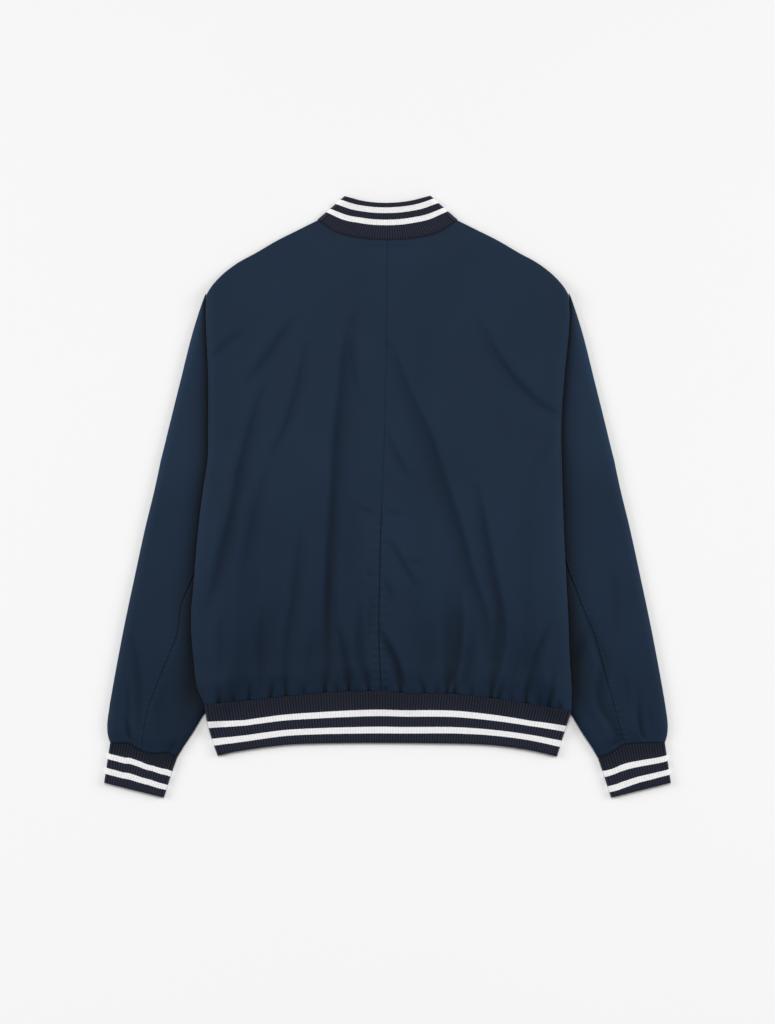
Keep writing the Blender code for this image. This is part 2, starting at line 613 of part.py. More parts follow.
def hem_rib():
    """The hem band, from the seam down to its folded lower edge."""
    plan = ruled(curve(HEM_SEAM), curve(HEM_EDGE), along_first=False)
    return knit_band("hem", "hem_rib", plan, plan, under_band, over_band, HEM_TURN)


def collar_rib():
    """The collar band: its back half stands above the back neck, its front halves lie under the backs."""
    back_seam = moved_up(curve(whole_neck(BACK_NECK, LEFT)), SEAM)
    front_seam = moved_up(curve(whole_neck(FRONT_NECK, LEFT)), FRONT_SEAM)
    upper = ruled(back_seam, curve(COLLAR_EDGE), along_first=False)
    lower = ruled(front_seam, curve(whole_neck(COLLAR_FRONT_EDGE, LEFT)), along_first=False)
    return knit_band("collar", "collar_rib", upper, lower, on_floor, over_flat_band, COLLAR_TURN)


def cuff(side, name):
    """One cuff, from the end of the sleeve to its folded lower edge."""
    corner = {key: np.array([side * out, y]) for key, (out, y) in CUFF.items()}
    outer = curve([corner["top_outer"], corner["end_outer"]])
    inner = curve([corner["top_inner"], corner["end_inner"]])
    plan = ruled(outer, inner)
    return knit_band("cuff", name, plan, plan, on_floor, over_flat_band, CUFF_TURN)


def sleeve_top(side):
    """Return the height of a sleeve's upper face, which dips to pass under the edge of the armhole."""

    def at(x, y):
        out = np.abs(x)
        (crown_y, crown_length), (folds_y, folds_length) = SLEEVE_CROWN_UP, SLEEVE_FOLDS_UP
        crown = SLEEVE_ENDS + (SLEEVE_CROWN - SLEEVE_ENDS) * smooth_step((y - crown_y) / crown_length)
        at_armhole = smooth_step(1.0 - (out - across(SIDE[side], y)) / SLEEVE_DIP) * (1 - beside_armpit(y))
        folds = sum(trough(out, y, row) for row in SLEEVE_FOLDS[side])
        folds = folds * smooth_step((y - folds_y) / folds_length)
        return crown + (SLEEVE_ENDS - crown) * at_armhole + np.clip(folds, *SLEEVE_RELIEF)

    return at


def sleeve_plan(side, tuck):
    """Span a sleeve from its outer edge to its inner one, which is the armhole down to the armpit."""
    rows = np.array(SLEEVE, float)
    armhole = rows[:ARMPIT_SECTION + 1]
    tip, length = TUCK_STEPS["sleeve"]
    inward = tuck * smooth_step((tip - armhole[:, 3]) / length)
    outward = SEAM + TIP_SEAM * smooth_step((armhole[:, 3] - tip) / length)
    armhole[:, 2] = across(SIDE[side], armhole[:, 3]) + outward - inward
    return ruled(curve([(side * out, y) for out, y in rows[:, :2]]),
                 curve([(side * out, y) for out, y in rows[:, 2:]]))


def seam_shares(side, plan, shares):
    """Find where the back seam crosses each row of a sleeve. A row above it has it at its inner edge."""
    seam = curve(BACK_SEAM[side])(np.linspace(0, 1, 80))
    across_row = np.linspace(0, 1, ROW_SHARES)
    rows = plan(*np.meshgrid(across_row, shares))
    beyond = np.abs(rows[..., 0]) - np.interp(-rows[..., 1], -seam[:, 1], seam[:, 0])
    crossing = across_row[np.argmax(beyond < 0, axis=1)]
    reached = (beyond < 0).any(axis=1) & (shares > shares_at(plan, ARMPIT_Y))
    return np.where(reached, crossing, 1.0)


def shares_at(plan, y):
    """Find the share along a sleeve at which its inner edge reaches height y."""
    shares = np.linspace(0, 1, 300)
    edge = plan(np.ones(300), shares)[:, 1]
    return float(np.interp(-y, -edge, shares))


def sleeve_piece(side, part, name):
    """One piece of a two-piece sleeve, from the back seam on top round a folded edge to the seam below."""
    upper, lower = sleeve_plan(side, UPPER_TUCK), sleeve_plan(side, LOWER_TUCK)
    armpit = shares_at(upper, ARMPIT_Y)
    below_tip, past_armpit, by_cuff = SLEEVE_STOPS
    stations = spread([0.0, below_tip, armpit, armpit + past_armpit, by_cuff, 1.0], SLEEVE_PITCH)
    stations = stations if part == "outer" else stations[stations > armpit + past_armpit / 2]
    seam = seam_shares(side, upper, stations)
    ends = upper(np.zeros(len(stations)), stations) - upper(np.ones(len(stations)), stations)
    width = np.linalg.norm(ends, axis=-1)
    half_seam = SEAM / 2 / width
    steps, turn = BEND_STEPS[part], SLEEVE_TURN
    if part == "outer":
        columns = flats(1, 1.0, 0.0, 7) + turned(0, False, steps) + flats(0, 0.0, 1.0, 3)
        limits = (np.full(len(stations), FROM_TURN), seam - half_seam)
    else:
        columns = flats(1, 0.0, 1.0, 5) + turned(1, False, steps) + flats(0, 1.0, 0.0, 3)
        limits = (seam + half_seam, np.full(len(stations), TO_TURN))
        turn = np.minimum(turn, (1 - seam) * width / 2)
    top = sleeve_top(side)
    skins = [flat_tube(upper, lower, columns, stations, on_floor, top, turn, depth, limits=limits)
             for depth in (0.0, CLOTH)]
    return wall(name, *skins, NAVY)


def snap_cap(number, y):
    """A snap's cap, which lies on the floor under the left front's edge."""
    bpy.ops.mesh.primitive_cone_add(vertices=16, radius1=0.9 * SNAP_RADIUS * MM, radius2=SNAP_RADIUS * MM,
                                    depth=SNAP_HEIGHT * MM, location=(0, y * MM, SNAP_HEIGHT / 2 * MM))
    made = bpy.context.object
    mesh = made.data.copy()
    mesh.transform(made.matrix_world)
    bpy.data.objects.remove(made)
    return finish(f"snap_{number}", mesh, METAL, 0.35, 1.0)


def main():
    """Clear the scene and build the jacket."""
    for old in list(bpy.data.objects):
        bpy.data.objects.remove(old)
    jacket = bpy.data.collections.new("varsity_jacket")
    bpy.context.scene.collection.children.link(jacket)
    for side, word in ((LEFT, "left"), (RIGHT, "right")):
        back_panel(side, f"back_{word}")
        front_panel(side, f"front_{word}")
        for part in ("outer", "under"):
            sleeve_piece(side, part, f"sleeve_{word}_{part}")
        cuff(side, f"cuff_{word}")
    hem_rib()
    collar_rib()
    for number in range(SNAP_COUNT):
        snap_cap(number + 1, SNAP_TOP - SNAP_PITCH * number)


main()
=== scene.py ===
"""Looks of a varsity jacket that lies flat on its front, with its sleeves turned down beside the body.

Each piece is a wall of cloth or knit with an outer and an inner skin. Two back panels lie on two front
panels, the sleeves are flattened tubes, and knit bands finish the neck, the hem and the wrists.

+X is the wearer's right, +Y runs from the hem to the collar and +Z is up from the floor. Tables and
formulas are in millimetres, and MM turns them into metres. A row's "out" is a distance from the centre.
"""

from __future__ import annotations

import json
import logging
from dataclasses import dataclass, field
from enum import Enum
from typing import Callable, Sequence

import bpy
import numpy as np
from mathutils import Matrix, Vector

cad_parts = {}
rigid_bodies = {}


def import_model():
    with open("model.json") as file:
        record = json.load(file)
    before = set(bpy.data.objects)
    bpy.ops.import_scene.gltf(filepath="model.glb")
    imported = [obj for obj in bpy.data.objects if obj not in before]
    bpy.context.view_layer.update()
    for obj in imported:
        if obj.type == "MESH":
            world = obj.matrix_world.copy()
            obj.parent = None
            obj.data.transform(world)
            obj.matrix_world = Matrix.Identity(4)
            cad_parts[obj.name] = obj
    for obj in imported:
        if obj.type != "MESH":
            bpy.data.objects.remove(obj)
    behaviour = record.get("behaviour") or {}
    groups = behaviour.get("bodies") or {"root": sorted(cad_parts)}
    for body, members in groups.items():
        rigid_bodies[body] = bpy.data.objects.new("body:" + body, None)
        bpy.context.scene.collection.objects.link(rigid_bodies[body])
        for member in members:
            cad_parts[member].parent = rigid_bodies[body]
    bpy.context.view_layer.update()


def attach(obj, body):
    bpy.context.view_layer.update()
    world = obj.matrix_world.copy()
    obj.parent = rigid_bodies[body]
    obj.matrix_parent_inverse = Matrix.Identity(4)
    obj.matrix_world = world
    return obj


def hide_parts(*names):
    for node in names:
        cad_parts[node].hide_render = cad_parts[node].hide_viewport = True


LOG = logging.getLogger("varsity_jacket")

Grid = np.ndarray
Piece = bpy.types.Object
Finish = bpy.types.Material
Socket = bpy.types.NodeSocket
Height = Callable[[Grid, Grid], Grid]
Plan = Callable[[Grid, Grid], Grid]

MM = 0.001
CLOTH = 2.6  # shell cloth with its lining
RIB = 3.0  # knit folded double
SEAM = 0.3  # what parts two pieces at a seam
BUTTED = 0.05  # the same where two panels' folded edges are sewn up close
FRONT_SEAM = 1.5  # the same where a front meets a knit band, under the jacket
RAMP = 34.0  # length over which the body comes down off a sleeve
BAND = 2 * RIB + 0.6  # upper face of a band laid flat, above what it lies on
ARMHOLE_TOP = 262.0  # y at which the armhole starts, under the shoulder
LEVEL = 1e-6  # what counts as no bend
FREE_START, FREE_END = -1.0, 2.0  # limits that let a flat run from or to its turn

# ---------------------------------------------------------------- outlines of the jacket

SHOULDER = [(243.2, 271), (237.9, 280), (224, 296), (204, 312), (175.5, 328), (147.4, 344.4), (120.6, 357.8),
            (94, 371)]
BACK_NECK = [(94, 371), (69, 355), (37.5, 347), (0, 344.4)]
FRONT_NECK = [(94, 371), (80, 331), (48, 296), (0, 281)]
CENTRE_SEAM = [(-8.7, -260), (-11.4, -191.6), (-10, -84.4), (-2.5, 130), (0, 344.4)]
HEM_SEAM = [(-245, -278), (-157.5, -269.3), (-86.4, -262.2), (-8.7, -260), (20.8, -262.2), (93.1, -264),
            (138.7, -269.3), (245.9, -286.5)]
SLEEVE = [  # out and y of its outer edge, out and y of its inner edge
    (244.2, 273.0, 243.4, 273.0), (248.2, 262, 242, 262), (258, 232, 240, 232), (278.8, 151.4, 238, 151),
    (294.8, 87, 237, 87), (302.6, 55, 236, 55), (304.4, 48, 236, 48), (306, 40, 236, 40),
    (312, 12, 214, 10), (325, -41.5, 204, -46), (339, -106, 203, -113), (352.5, -170, 206, -182),
    (362, -219, 214, -236), (368.5, -255, 228, -268), (373.2, -283, 245, -290), (375.9, -310, 262, -318),
    (374.5, -322, 274, -336), (371.9, -329.3, 282.3, -350)]


class Side(Enum):
    """A side of the jacket, with the sign of its x."""

    LEFT = -1
    RIGHT = 1

    @property
    def word(self) -> str:
        """Name the side in lower case."""
        return self.name.lower()


LEFT, RIGHT = Side.LEFT, Side.RIGHT


class Half(Enum):
    """A half of a flattened tube."""

    LOWER = 0
    UPPER = 1


class Part(Enum):
    """A piece of a two-piece sleeve."""

    OUTER = "outer"
    UNDER = "under"


LOW_SHADE = {  # below the centre, what the sleeve loses of its light beside the body, and how far out
    LEFT: [(200, 0.0, 30), (235, 0.25, 40), (272, 0.5, 55), (300, 0.35, 60)],
    RIGHT: [(110, 0.0, 14), (165, 0.4, 17), (218, 0.6, 20), (272, 0.6, 16), (300, 0.3, 16)]}
CUFF_SHADES = {LEFT: 0.50, RIGHT: 0.40}  # share of light that a cuff loses at its seam
SIDE_LINE = {
    LEFT: [
        (245, -278), (253.5, -258.6), (259.4, -218.4), (262.8, -164.8), (259, -111.2), (254.6, -57.6),
        (248.6, -4), (244.6, 24), (241.0, 48), (240.2, 90), (240.6, 170.2), (243.0, 225), (243.6, 262),
        (243.2, 271)],
    RIGHT: [
        (245.9, -286.5), (246.4, -258.6), (244, -218.4), (241.9, -164.8), (239.3, -111.2), (236.6, -57.6),
        (234.6, -4), (233.6, 33.5), (232.6, 76.4), (237.8, 170.2), (243.0, 222), (243.8, 262), (243.2, 271)]}
CUFF_SEAM = {
    LEFT: [
        (371.9, -329.6), (358.5, -330.2), (347.0, -330.4), (338.4, -335.4), (330.3, -340.4), (322.3, -343.3),
        (310.2, -344.4), (294.1, -343.8), (282.3, -350.1)],
    RIGHT: [
        (371.9, -329.8), (355.8, -330.2), (338.4, -330.3), (325.0, -331.0), (315.6, -333.0), (304.9, -339.7),
        (295.5, -345.1), (282.3, -350.1)]}
HEM_EDGE = [(-227.8, -347.2), (-211, -342.9), (-190.9, -339.3), (-150.7, -333.8), (-130.6, -331.8),
            (-90.4, -330.2), (-50, -329.6), (0, -329.5), (50, -329.9), (90.4, -330.5), (130.6, -331.9),
            (170.8, -336.3), (191, -339.6), (227.5, -348)]
COLLAR_EDGE = [(-58, 403.6), (-30, 396.5), (0, 394.4), (30, 397.1), (58, 404.2)]
COLLAR_FRONT_EDGE = [(58, 403.6), (50, 371), (28, 346), (0, 334)]
CUFF_CORNERS = [(372.1, -329.6), (380.2, -383), (282.4, -350.3), (299.9, -403)]
BACK_SEAM = {
    LEFT: [
        (234, 20), (244, -50), (258, -100), (278, -151), (282, -183.6), (292, -210), (309.5, -252),
        (320, -281), (327, -312), (330.3, -340)],
    RIGHT: [
        (228, 20), (232, -60), (242, -98), (254, -128.6), (265, -157), (277, -183.6), (286, -214.4),
        (299.5, -265.3), (309, -300), (319, -332)]}


def stripe_edges(*rows: tuple[int, ...]) -> dict[float, tuple[float, ...]]:
    """Turn rows of thousandths, a share along a band and its stripes' four edges, into edges by share."""
    return {row[0] / 1000: tuple(edge / 1000 for edge in row[1:]) for row in rows}


HEM_STRIPES = stripe_edges(
    (0, 324, 452, 664, 798), (50, 370, 490, 694, 823), (100, 397, 510, 704, 828), (200, 373, 494, 688, 813),
    (300, 380, 502, 694, 817), (400, 371, 496, 694, 820), (500, 353, 479, 684, 815),
    (600, 338, 468, 674, 805), (700, 337, 463, 664, 793), (800, 348, 473, 667, 791),
    (900, 360, 475, 663, 784), (1000, 322, 451, 651, 786))
COLLAR_STRIPES = stripe_edges(
    (0, 328, 469, 671, 847), (100, 356, 505, 692, 853), (250, 393, 542, 715, 868), (500, 391, 542, 720, 872),
    (750, 402, 551, 724, 873), (900, 390, 533, 715, 873), (1000, 358, 507, 698, 878))
CUFF_STRIPES = {
    LEFT: stripe_edges(
        (0, 260, 400, 617, 768), (150, 292, 422, 632, 778), (280, 325, 455, 658, 790),
        (500, 261, 405, 637, 782), (700, 289, 416, 634, 777), (850, 345, 470, 671, 802),
        (1000, 365, 497, 700, 815)),
    RIGHT: stripe_edges(
        (0, 304, 448, 660, 790), (150, 335, 469, 671, 799), (300, 348, 480, 685, 813),
        (500, 369, 496, 699, 825), (700, 382, 515, 730, 857), (850, 368, 506, 740, 876),
        (1000, 332, 488, 725, 868))}


def smooth_step(share: Grid | float) -> Grid:
    """Rise from 0 to 1 with level ends, as the share goes from 0 to 1: 3s^2 - 2s^3."""
    share = np.clip(share, 0.0, 1.0)
    return share * share * (3.0 - 2.0 * share)


def bell(distance: Grid, width: Grid | float) -> Grid:
    """Fall from 1 at no distance to nearly 0 at two widths: exp(-(distance / width)^2)."""
    return np.exp(-(distance / width) ** 2)


@dataclass(frozen=True)
class Slope:
    """A size that is 0 before a start and whole a length further on, or further back if that is below 0."""

    size: float
    start: float
    length: float

    def __call__(self, value: Grid) -> Grid:
        """Give what there is of the size at a value."""
        return self.size * smooth_step((value - self.start) / self.length)


@dataclass(frozen=True)
class Bell:
    """A size that is whole at a centre and falls off to both sides."""

    size: float
    width: float
    centre: float = 0.0

    def __call__(self, value: Grid) -> Grid:
        """Give what there is of the size at a value."""
        return self.size * bell(value - self.centre, self.width)


@dataclass(frozen=True)
class Pucker:
    """A wave along a stitched seam, whose length wanders: sin(2 pi y / pitch + sway sin(y / drift))."""

    pitch: float
    sway: float
    drift: float

    def __call__(self, y: Grid) -> Grid:
        """Give the wave, from -1 to 1."""
        return np.sin(y * 2 * np.pi / self.pitch + self.sway * np.sin(y / self.drift))


def swells(waves: Sequence[tuple[float, float, float, float]], x: Grid, y: Grid) -> Grid:
    """Add up slanting waves, each given by its turn a millimetre across and up, its phase and its size."""
    return sum(size * np.sin(sideways * x + up * y + phase) for sideways, up, phase, size in waves)


def traced(rows: Sequence[Sequence[float]], count: int = 120) -> Grid:
    """Read the smooth curve through points at even shares of its length."""
    return curve(rows)(np.linspace(0, 1, count))


def curve(rows: Sequence[Sequence[float]]) -> Callable[[Grid], Grid]:
    """Return the smooth curve through points, a cubic between each two with the points' mean slopes.

    Args:
        rows: The points, in order.

    Returns:
        A function from the share of the curve's length to the place there.
    """
    points = np.array(rows, float)
    knots = np.append(0.0, np.cumsum(np.linalg.norm(np.diff(points, axis=0), axis=1)))
    knots /= knots[-1]
    slopes = np.gradient(points, knots, axis=0)

    def at(share: Grid) -> Grid:
        """Blend the two nearest points and slopes with the cubic Hermite weights.

        Args:
            share: Share of the curve's length.

        Returns:
            The place there.
        """
        share = np.clip(np.asarray(share, float), 0.0, 1.0)
        span = np.clip(np.searchsorted(knots, share, side="right") - 1, 0, len(knots) - 2)
        width = knots[span + 1] - knots[span]
        t = ((share - knots[span]) / width)[..., None]
        width = width[..., None]
        return ((2 * t**3 - 3 * t**2 + 1) * points[span] + (t**3 - 2 * t**2 + t) * width * slopes[span]
                + (3 * t**2 - 2 * t**3) * points[span + 1] + (t**3 - t**2) * width * slopes[span + 1])

    return at


def mirrored(rows: Sequence[tuple[float, float]], side: Side) -> list[tuple[float, float]]:
    """Turn rows of out and y into x and y on one side."""
    return [(side.value * out, y) for out, y in rows]


def whole_neck(rows: Sequence[tuple[float, float]], side: Side) -> list[tuple[float, float]]:
    """Run a neck line from its corner on one side to its corner on the other."""
    return [(side.value * out, y) for out, y in rows] + [(-side.value * out, y) for out, y in rows[-2::-1]]


def across(rows: Sequence[tuple[float, float]], y: Grid) -> Grid:
    """Read how far out a line of out and y rows is at height y."""
    dense = traced(rows, 240)
    order = np.argsort(dense[:, 1])
    return np.interp(y, dense[order, 1], dense[order, 0])


def ruled(first: Callable[[Grid], Grid], second: Callable[[Grid], Grid], along_first: bool = True) -> Plan:
    """Span two edge curves with straight lines: at 0 the first curve, at 1 the second.

    Args:
        first: Curve at 0.
        second: Curve at 1.
        along_first: Whether the blend is the first of the surface's two shares.

    Returns:
        The plan, as a function of two shares.
    """

    def at(u: Grid, v: Grid) -> Grid:
        """Blend the curves: (1 - blend) first + blend second."""
        blend, share = (u, v) if along_first else (v, u)
        return first(share) * (1 - blend[..., None]) + second(share) * blend[..., None]

    return at


def cuff_line(side: Side, x: Grid) -> Grid:
    """Give the y of a cuff's seam at places across, sagging unevenly between its ends."""
    seam = curve(CUFF_SEAM[side])(np.linspace(1, 0, 120))
    return np.interp(np.abs(x), seam[:, 0], seam[:, 1])


def sagged(plan: Plan, side: Side, share: Callable[[Grid], Grid]) -> Plan:
    """Bend a plan along y by the sag of a cuff's seam from the straight line between its ends.

    Args:
        plan: The straight plan.
        side: Side of the cuff.
        share: How much of the sag there is at a share along the plan.

    Returns:
        The bent plan.
    """
    (outer, high), (inner, low) = CUFF_SEAM[side][0], CUFF_SEAM[side][-1]

    def at(u: Grid, v: Grid) -> Grid:
        """Add the sag to y."""
        place = plan(u, v)
        straight = np.interp(np.abs(place[..., 0]), [inner, outer], [low, high])
        place[..., 1] += (cuff_line(side, place[..., 0]) - straight) * share(v)
        return place

    return at


@dataclass(frozen=True)
class Crease:
    """A fold along a line of points: steep on one side, gentle and shaded on the other."""

    steep_side: Side
    depth: float
    shade: float
    steep: float
    gentle: float
    ridge: float
    points: tuple[tuple[float, float], ...]
    point_steps: int = 12
    reach: tuple[float, float] = (2.6, 2.0)
    ends: float = 0.03
    narrow: float = 0.35
    past_ends: float = 1.5
    ridge_place: float = 2.6
    ridge_width: float = 1.7
    shade_width: float = 0.8

    def relief(self, x: Grid, y: Grid) -> tuple[Grid, Grid]:
        """Give the fold's height and its shade.

        The height is depth times taper times (a ridge bell on the steep side - a bell on the line that is
        narrow on the steep side and wide on the gentle one). The shade is the same bell, narrower. The
        taper is the root of a half sine along the line.

        Args:
            x: Places across.
            y: Places up.

        Returns:
            The height in millimetres, and the share of light that the fold takes.
        """
        steps = self.point_steps * len(self.points)
        line = traced(self.points, steps + 1)
        reach = self.reach[0] * self.gentle + self.reach[1] * self.steep
        near = ((x > line[:, 0].min() - reach) & (x < line[:, 0].max() + reach)
                & (y > line[:, 1].min() - reach) & (y < line[:, 1].max() + reach))
        height, shade = np.zeros(np.broadcast(x, y).shape), np.zeros(np.broadcast(x, y).shape)
        if not near.any():
            return height, shade
        offset_x, offset_y = x[near][:, None] - line[:, 0], y[near][:, None] - line[:, 1]
        apart = np.hypot(offset_x, offset_y)
        step = apart.argmin(axis=1)
        pick = (np.arange(len(step)), step)
        way = np.gradient(line, axis=0)[step]
        way /= np.linalg.norm(way, axis=1, keepdims=True)
        beside = -self.steep_side.value * (way[:, 1] * offset_x[pick] - way[:, 0] * offset_y[pick])
        blend = smooth_step(0.5 - beside / (2.0 * self.steep))
        bow = np.sin(np.pi * np.clip(step / steps, self.ends, 1 - self.ends))
        gentle = self.gentle * (self.narrow + (1 - self.narrow) * np.sqrt(bow))
        width = self.steep + (gentle - self.steep) * blend
        past_end = np.sqrt(np.clip(apart[pick] ** 2 - beside ** 2, 0.0, None))
        taper = np.sqrt(bow) * bell(past_end, self.past_ends * self.steep)
        ridge = bell(beside - self.ridge_place * self.steep, self.ridge_width * self.steep)
        height[near] = self.depth * taper * (self.ridge * ridge - bell(beside, width))
        shade[near] = self.shade * taper * bell(beside, self.shade_width * width)
        return height, shade


def creases(*rows: tuple) -> tuple[Crease, ...]:
    """Make creases of rows: the steep side, five sizes and then any number of points."""
    return tuple(Crease(*row[:6], row[6:]) for row in rows)


def creased(folds: Sequence[Crease], x: Grid, y: Grid) -> tuple[Grid, Grid]:
    """Add up the creases' heights, and let each take its share of the light that the others leave.

    Args:
        folds: The creases.
        x: Places across.
        y: Places up.

    Returns:
        The height, and the light, 1 where no crease lies.
    """
    height, light = np.zeros(np.broadcast(x, y).shape), np.ones(np.broadcast(x, y).shape)
    for crease in folds:
        added, shade = crease.relief(x, y)
        height += added
        light *= 1.0 - shade
    return height, light


# ---------------------------------------------------------------- heights above the floor


@dataclass(frozen=True)
class Drape:
    """Heights of the jacket's layers above the floor, as functions of x and y."""

    over_sleeve: float = 10.2
    armhole_rise: float = 5.0
    lay: float = 1.2
    step_down: tuple[float, float] = (105.0, 36.0)
    lap_rise: dict = field(default_factory=lambda: {LEFT: 1.8, RIGHT: 5.0})
    lap_flat: dict = field(default_factory=lambda: {LEFT: 22.0, RIGHT: 24.0})
    lap_ramp: float = 40.0
    hem_fade: float = 36.0
    rims: tuple[float, float, float, float] = (4.2, 7.4, 13.6, 12.4)
    to_shoulder: Slope = Slope(1, 266, -30)
    to_hem: Slope = Slope(1, -240, -40)
    armhole: Slope = Slope(1, ARMHOLE_TOP, -30)
    early: float = 10.0

    def above_hem(self, x: Grid, y: Grid) -> Grid:
        """Give the distance above the hem seam, below 0 on the hem band."""
        seam = traced(HEM_SEAM)
        return y - np.interp(x, seam[:, 0], seam[:, 1])

    def below_neck(self, x: Grid, y: Grid) -> Grid:
        """Give the distance from the back neck seam."""
        neck = traced(BACK_NECK, 60)
        return np.min(np.hypot(np.abs(x)[..., None] - neck[:, 0], y[..., None] - neck[:, 1]), axis=-1)

    def on_sleeve(self, x: Grid, y: Grid) -> Grid:
        """Give 1 over the sleeve, falling smoothly to 0 down the ramp beside its inner edge."""
        rows = np.array(SLEEVE)[::-1]
        inner = np.minimum(np.interp(y, rows[:, 3], rows[:, 2]), np.interp(y - RAMP, rows[:, 3], rows[:, 2]))
        return smooth_step(1.0 - (inner - np.abs(x)) / RAMP)

    def beside_armpit(self, y: Grid) -> Grid:
        """Give 0 along the armhole and 1 below the armpit, where the sleeve goes under the body."""
        return smooth_step((self.step_down[0] - y) / (self.step_down[0] - self.step_down[1]))

    def lap(self, x: Grid, y: Grid, side: Side) -> Grid:
        """Give a front's lift at the centre, level near it, then down a ramp, and flat below the hem seam."""
        level = self.lap_rise[side] * smooth_step(1.0 - (np.abs(x) - self.lap_flat[side]) / self.lap_ramp)
        return level * smooth_step(1.0 + self.above_hem(x, y) / self.hem_fade)

    def under_body(self, x: Grid, y: Grid, side: Side) -> Grid:
        """Give the underside of a front: the floor, a sleeve, or the lap at the centre."""
        return self.over_sleeve * self.on_sleeve(x, y) * self.beside_armpit(y) + self.lap(x, y, side)

    def top_of_fronts(self, x: Grid, y: Grid) -> Grid:
        """Give a surface that clears both fronts, less their thickness."""
        rise = self.armhole_rise + (self.over_sleeve - self.armhole_rise) * self.beside_armpit(y)
        return rise * self.on_sleeve(x, y) + self.lap(x, y, RIGHT)

    def lying(self, x: Grid, y: Grid) -> Grid:
        """Give the upper face of a back panel that lies close on the fronts."""
        return self.top_of_fronts(x, y) + 2 * CLOTH + self.lay - SEAM

    def rim(self, y: Grid) -> Grid:
        """Give the height of the seam that joins back and front, up the side and over the shoulder."""
        shoulder, armhole, side_rim, hem = self.rims
        side = armhole + (side_rim - armhole) * self.beside_armpit(y - self.early)
        side = side + (hem - side_rim) * self.to_hem(y)
        return shoulder + (side - shoulder) * self.to_shoulder(y)

    def front_rim(self, y: Grid) -> Grid:
        """Give the height of a front's outer edge: on the floor along the armhole, at the seam elsewhere."""
        along_armhole = self.armhole(y) * (1 - self.beside_armpit(y))
        seam = np.where(y > ARMHOLE_TOP, self.rims[0], self.rim(y))
        return seam + (CLOTH + SEAM / 2 - seam) * along_armhole


# ---------------------------------------------------------------- meshes and finishes


def shell(name: str, outer: Grid, inner: Grid, uv: Grid, material: Finish,
          light: Grid | None = None) -> Piece:
    """Close two skins of the same rows and columns into one wall whose faces point out.

    The quads of each skin join neighbours in its grid, and a ring of quads joins the skins' borders.

    Args:
        name: Name of the piece.
        outer: Outer skin, rows by columns by x, y, z in millimetres.
        inner: Inner skin, the same.
        uv: Rows by columns by two texture coordinates, for both skins.
        material: Finish of the piece.
        light: Rows by columns of the light and shade painted on the cloth, 1 where it is plain.

    Returns:
        The new piece, in the scene.
    """
    rows, columns = outer.shape[:2]
    index = np.arange(rows * columns).reshape(rows, columns)
    quads = np.stack([index[:-1, :-1], index[:-1, 1:], index[1:, 1:], index[1:, :-1]], axis=-1).reshape(-1, 4)
    border = np.concatenate([index[0, :-1], index[:-1, -1], index[-1, :0:-1], index[:0:-1, 0]])
    onwards = np.roll(border, -1)
    count = rows * columns
    ring = np.stack([onwards, border, border + count, onwards + count], axis=-1)
    faces = np.concatenate([quads, quads[:, ::-1] + count, ring])
    flat = outer.reshape(-1, 3)
    corner = flat[quads]
    normal = np.cross(corner[:, 2] - corner[:, 0], corner[:, 3] - corner[:, 1])
    outwards = (flat - inner.reshape(-1, 3))[quads].sum(axis=1)
    if (normal * outwards).sum() < 0:
        faces = faces[:, ::-1]
    piece = grid_piece(name, np.concatenate([flat, inner.reshape(-1, 3)]), faces,
                       np.concatenate([uv.reshape(-1, 2)] * 2), material)
    # The painted light and shade of the outer skin go into a point attribute; the inner skin stays plain.
    if light is not None:
        values = np.concatenate([light.ravel(), np.ones(count)]).astype(np.float32)
        piece.data.attributes.new("light", "FLOAT", "POINT").data.foreach_set("value", values)
    return piece


def grid_piece(name: str, points: Grid, faces: Grid | list, uv: Grid,
               material: Finish) -> Piece:
    """Put points, faces and a texture map into a smooth mesh in the scene.

    Args:
        name: Name of the piece.
        points: Vertices by x, y, z in millimetres.
        faces: Faces by their vertices.
        uv: Vertices by two texture coordinates.
        material: Finish of the piece.

    Returns:
        The new piece.
    """
    mesh = bpy.data.meshes.new(name)
    mesh.from_pydata((points * MM).tolist(), [], faces if isinstance(faces, list) else faces.tolist())
    layer = mesh.uv_layers.new(name="UVMap")
    corners = np.empty(len(mesh.loops), np.int32)
    mesh.loops.foreach_get("vertex_index", corners)
    layer.data.foreach_set("uv", uv[corners].astype(np.float32).ravel())
    mesh.materials.append(material)
    mesh.shade_smooth()
    mesh.update()
    return placed(name, mesh)


def placed(name: str, data: bpy.types.ID) -> Piece:
    """Put a mesh, a light or a camera into the scene as an object."""
    item = bpy.data.objects.new(name, data)
    bpy.context.scene.collection.objects.link(item)
    return item


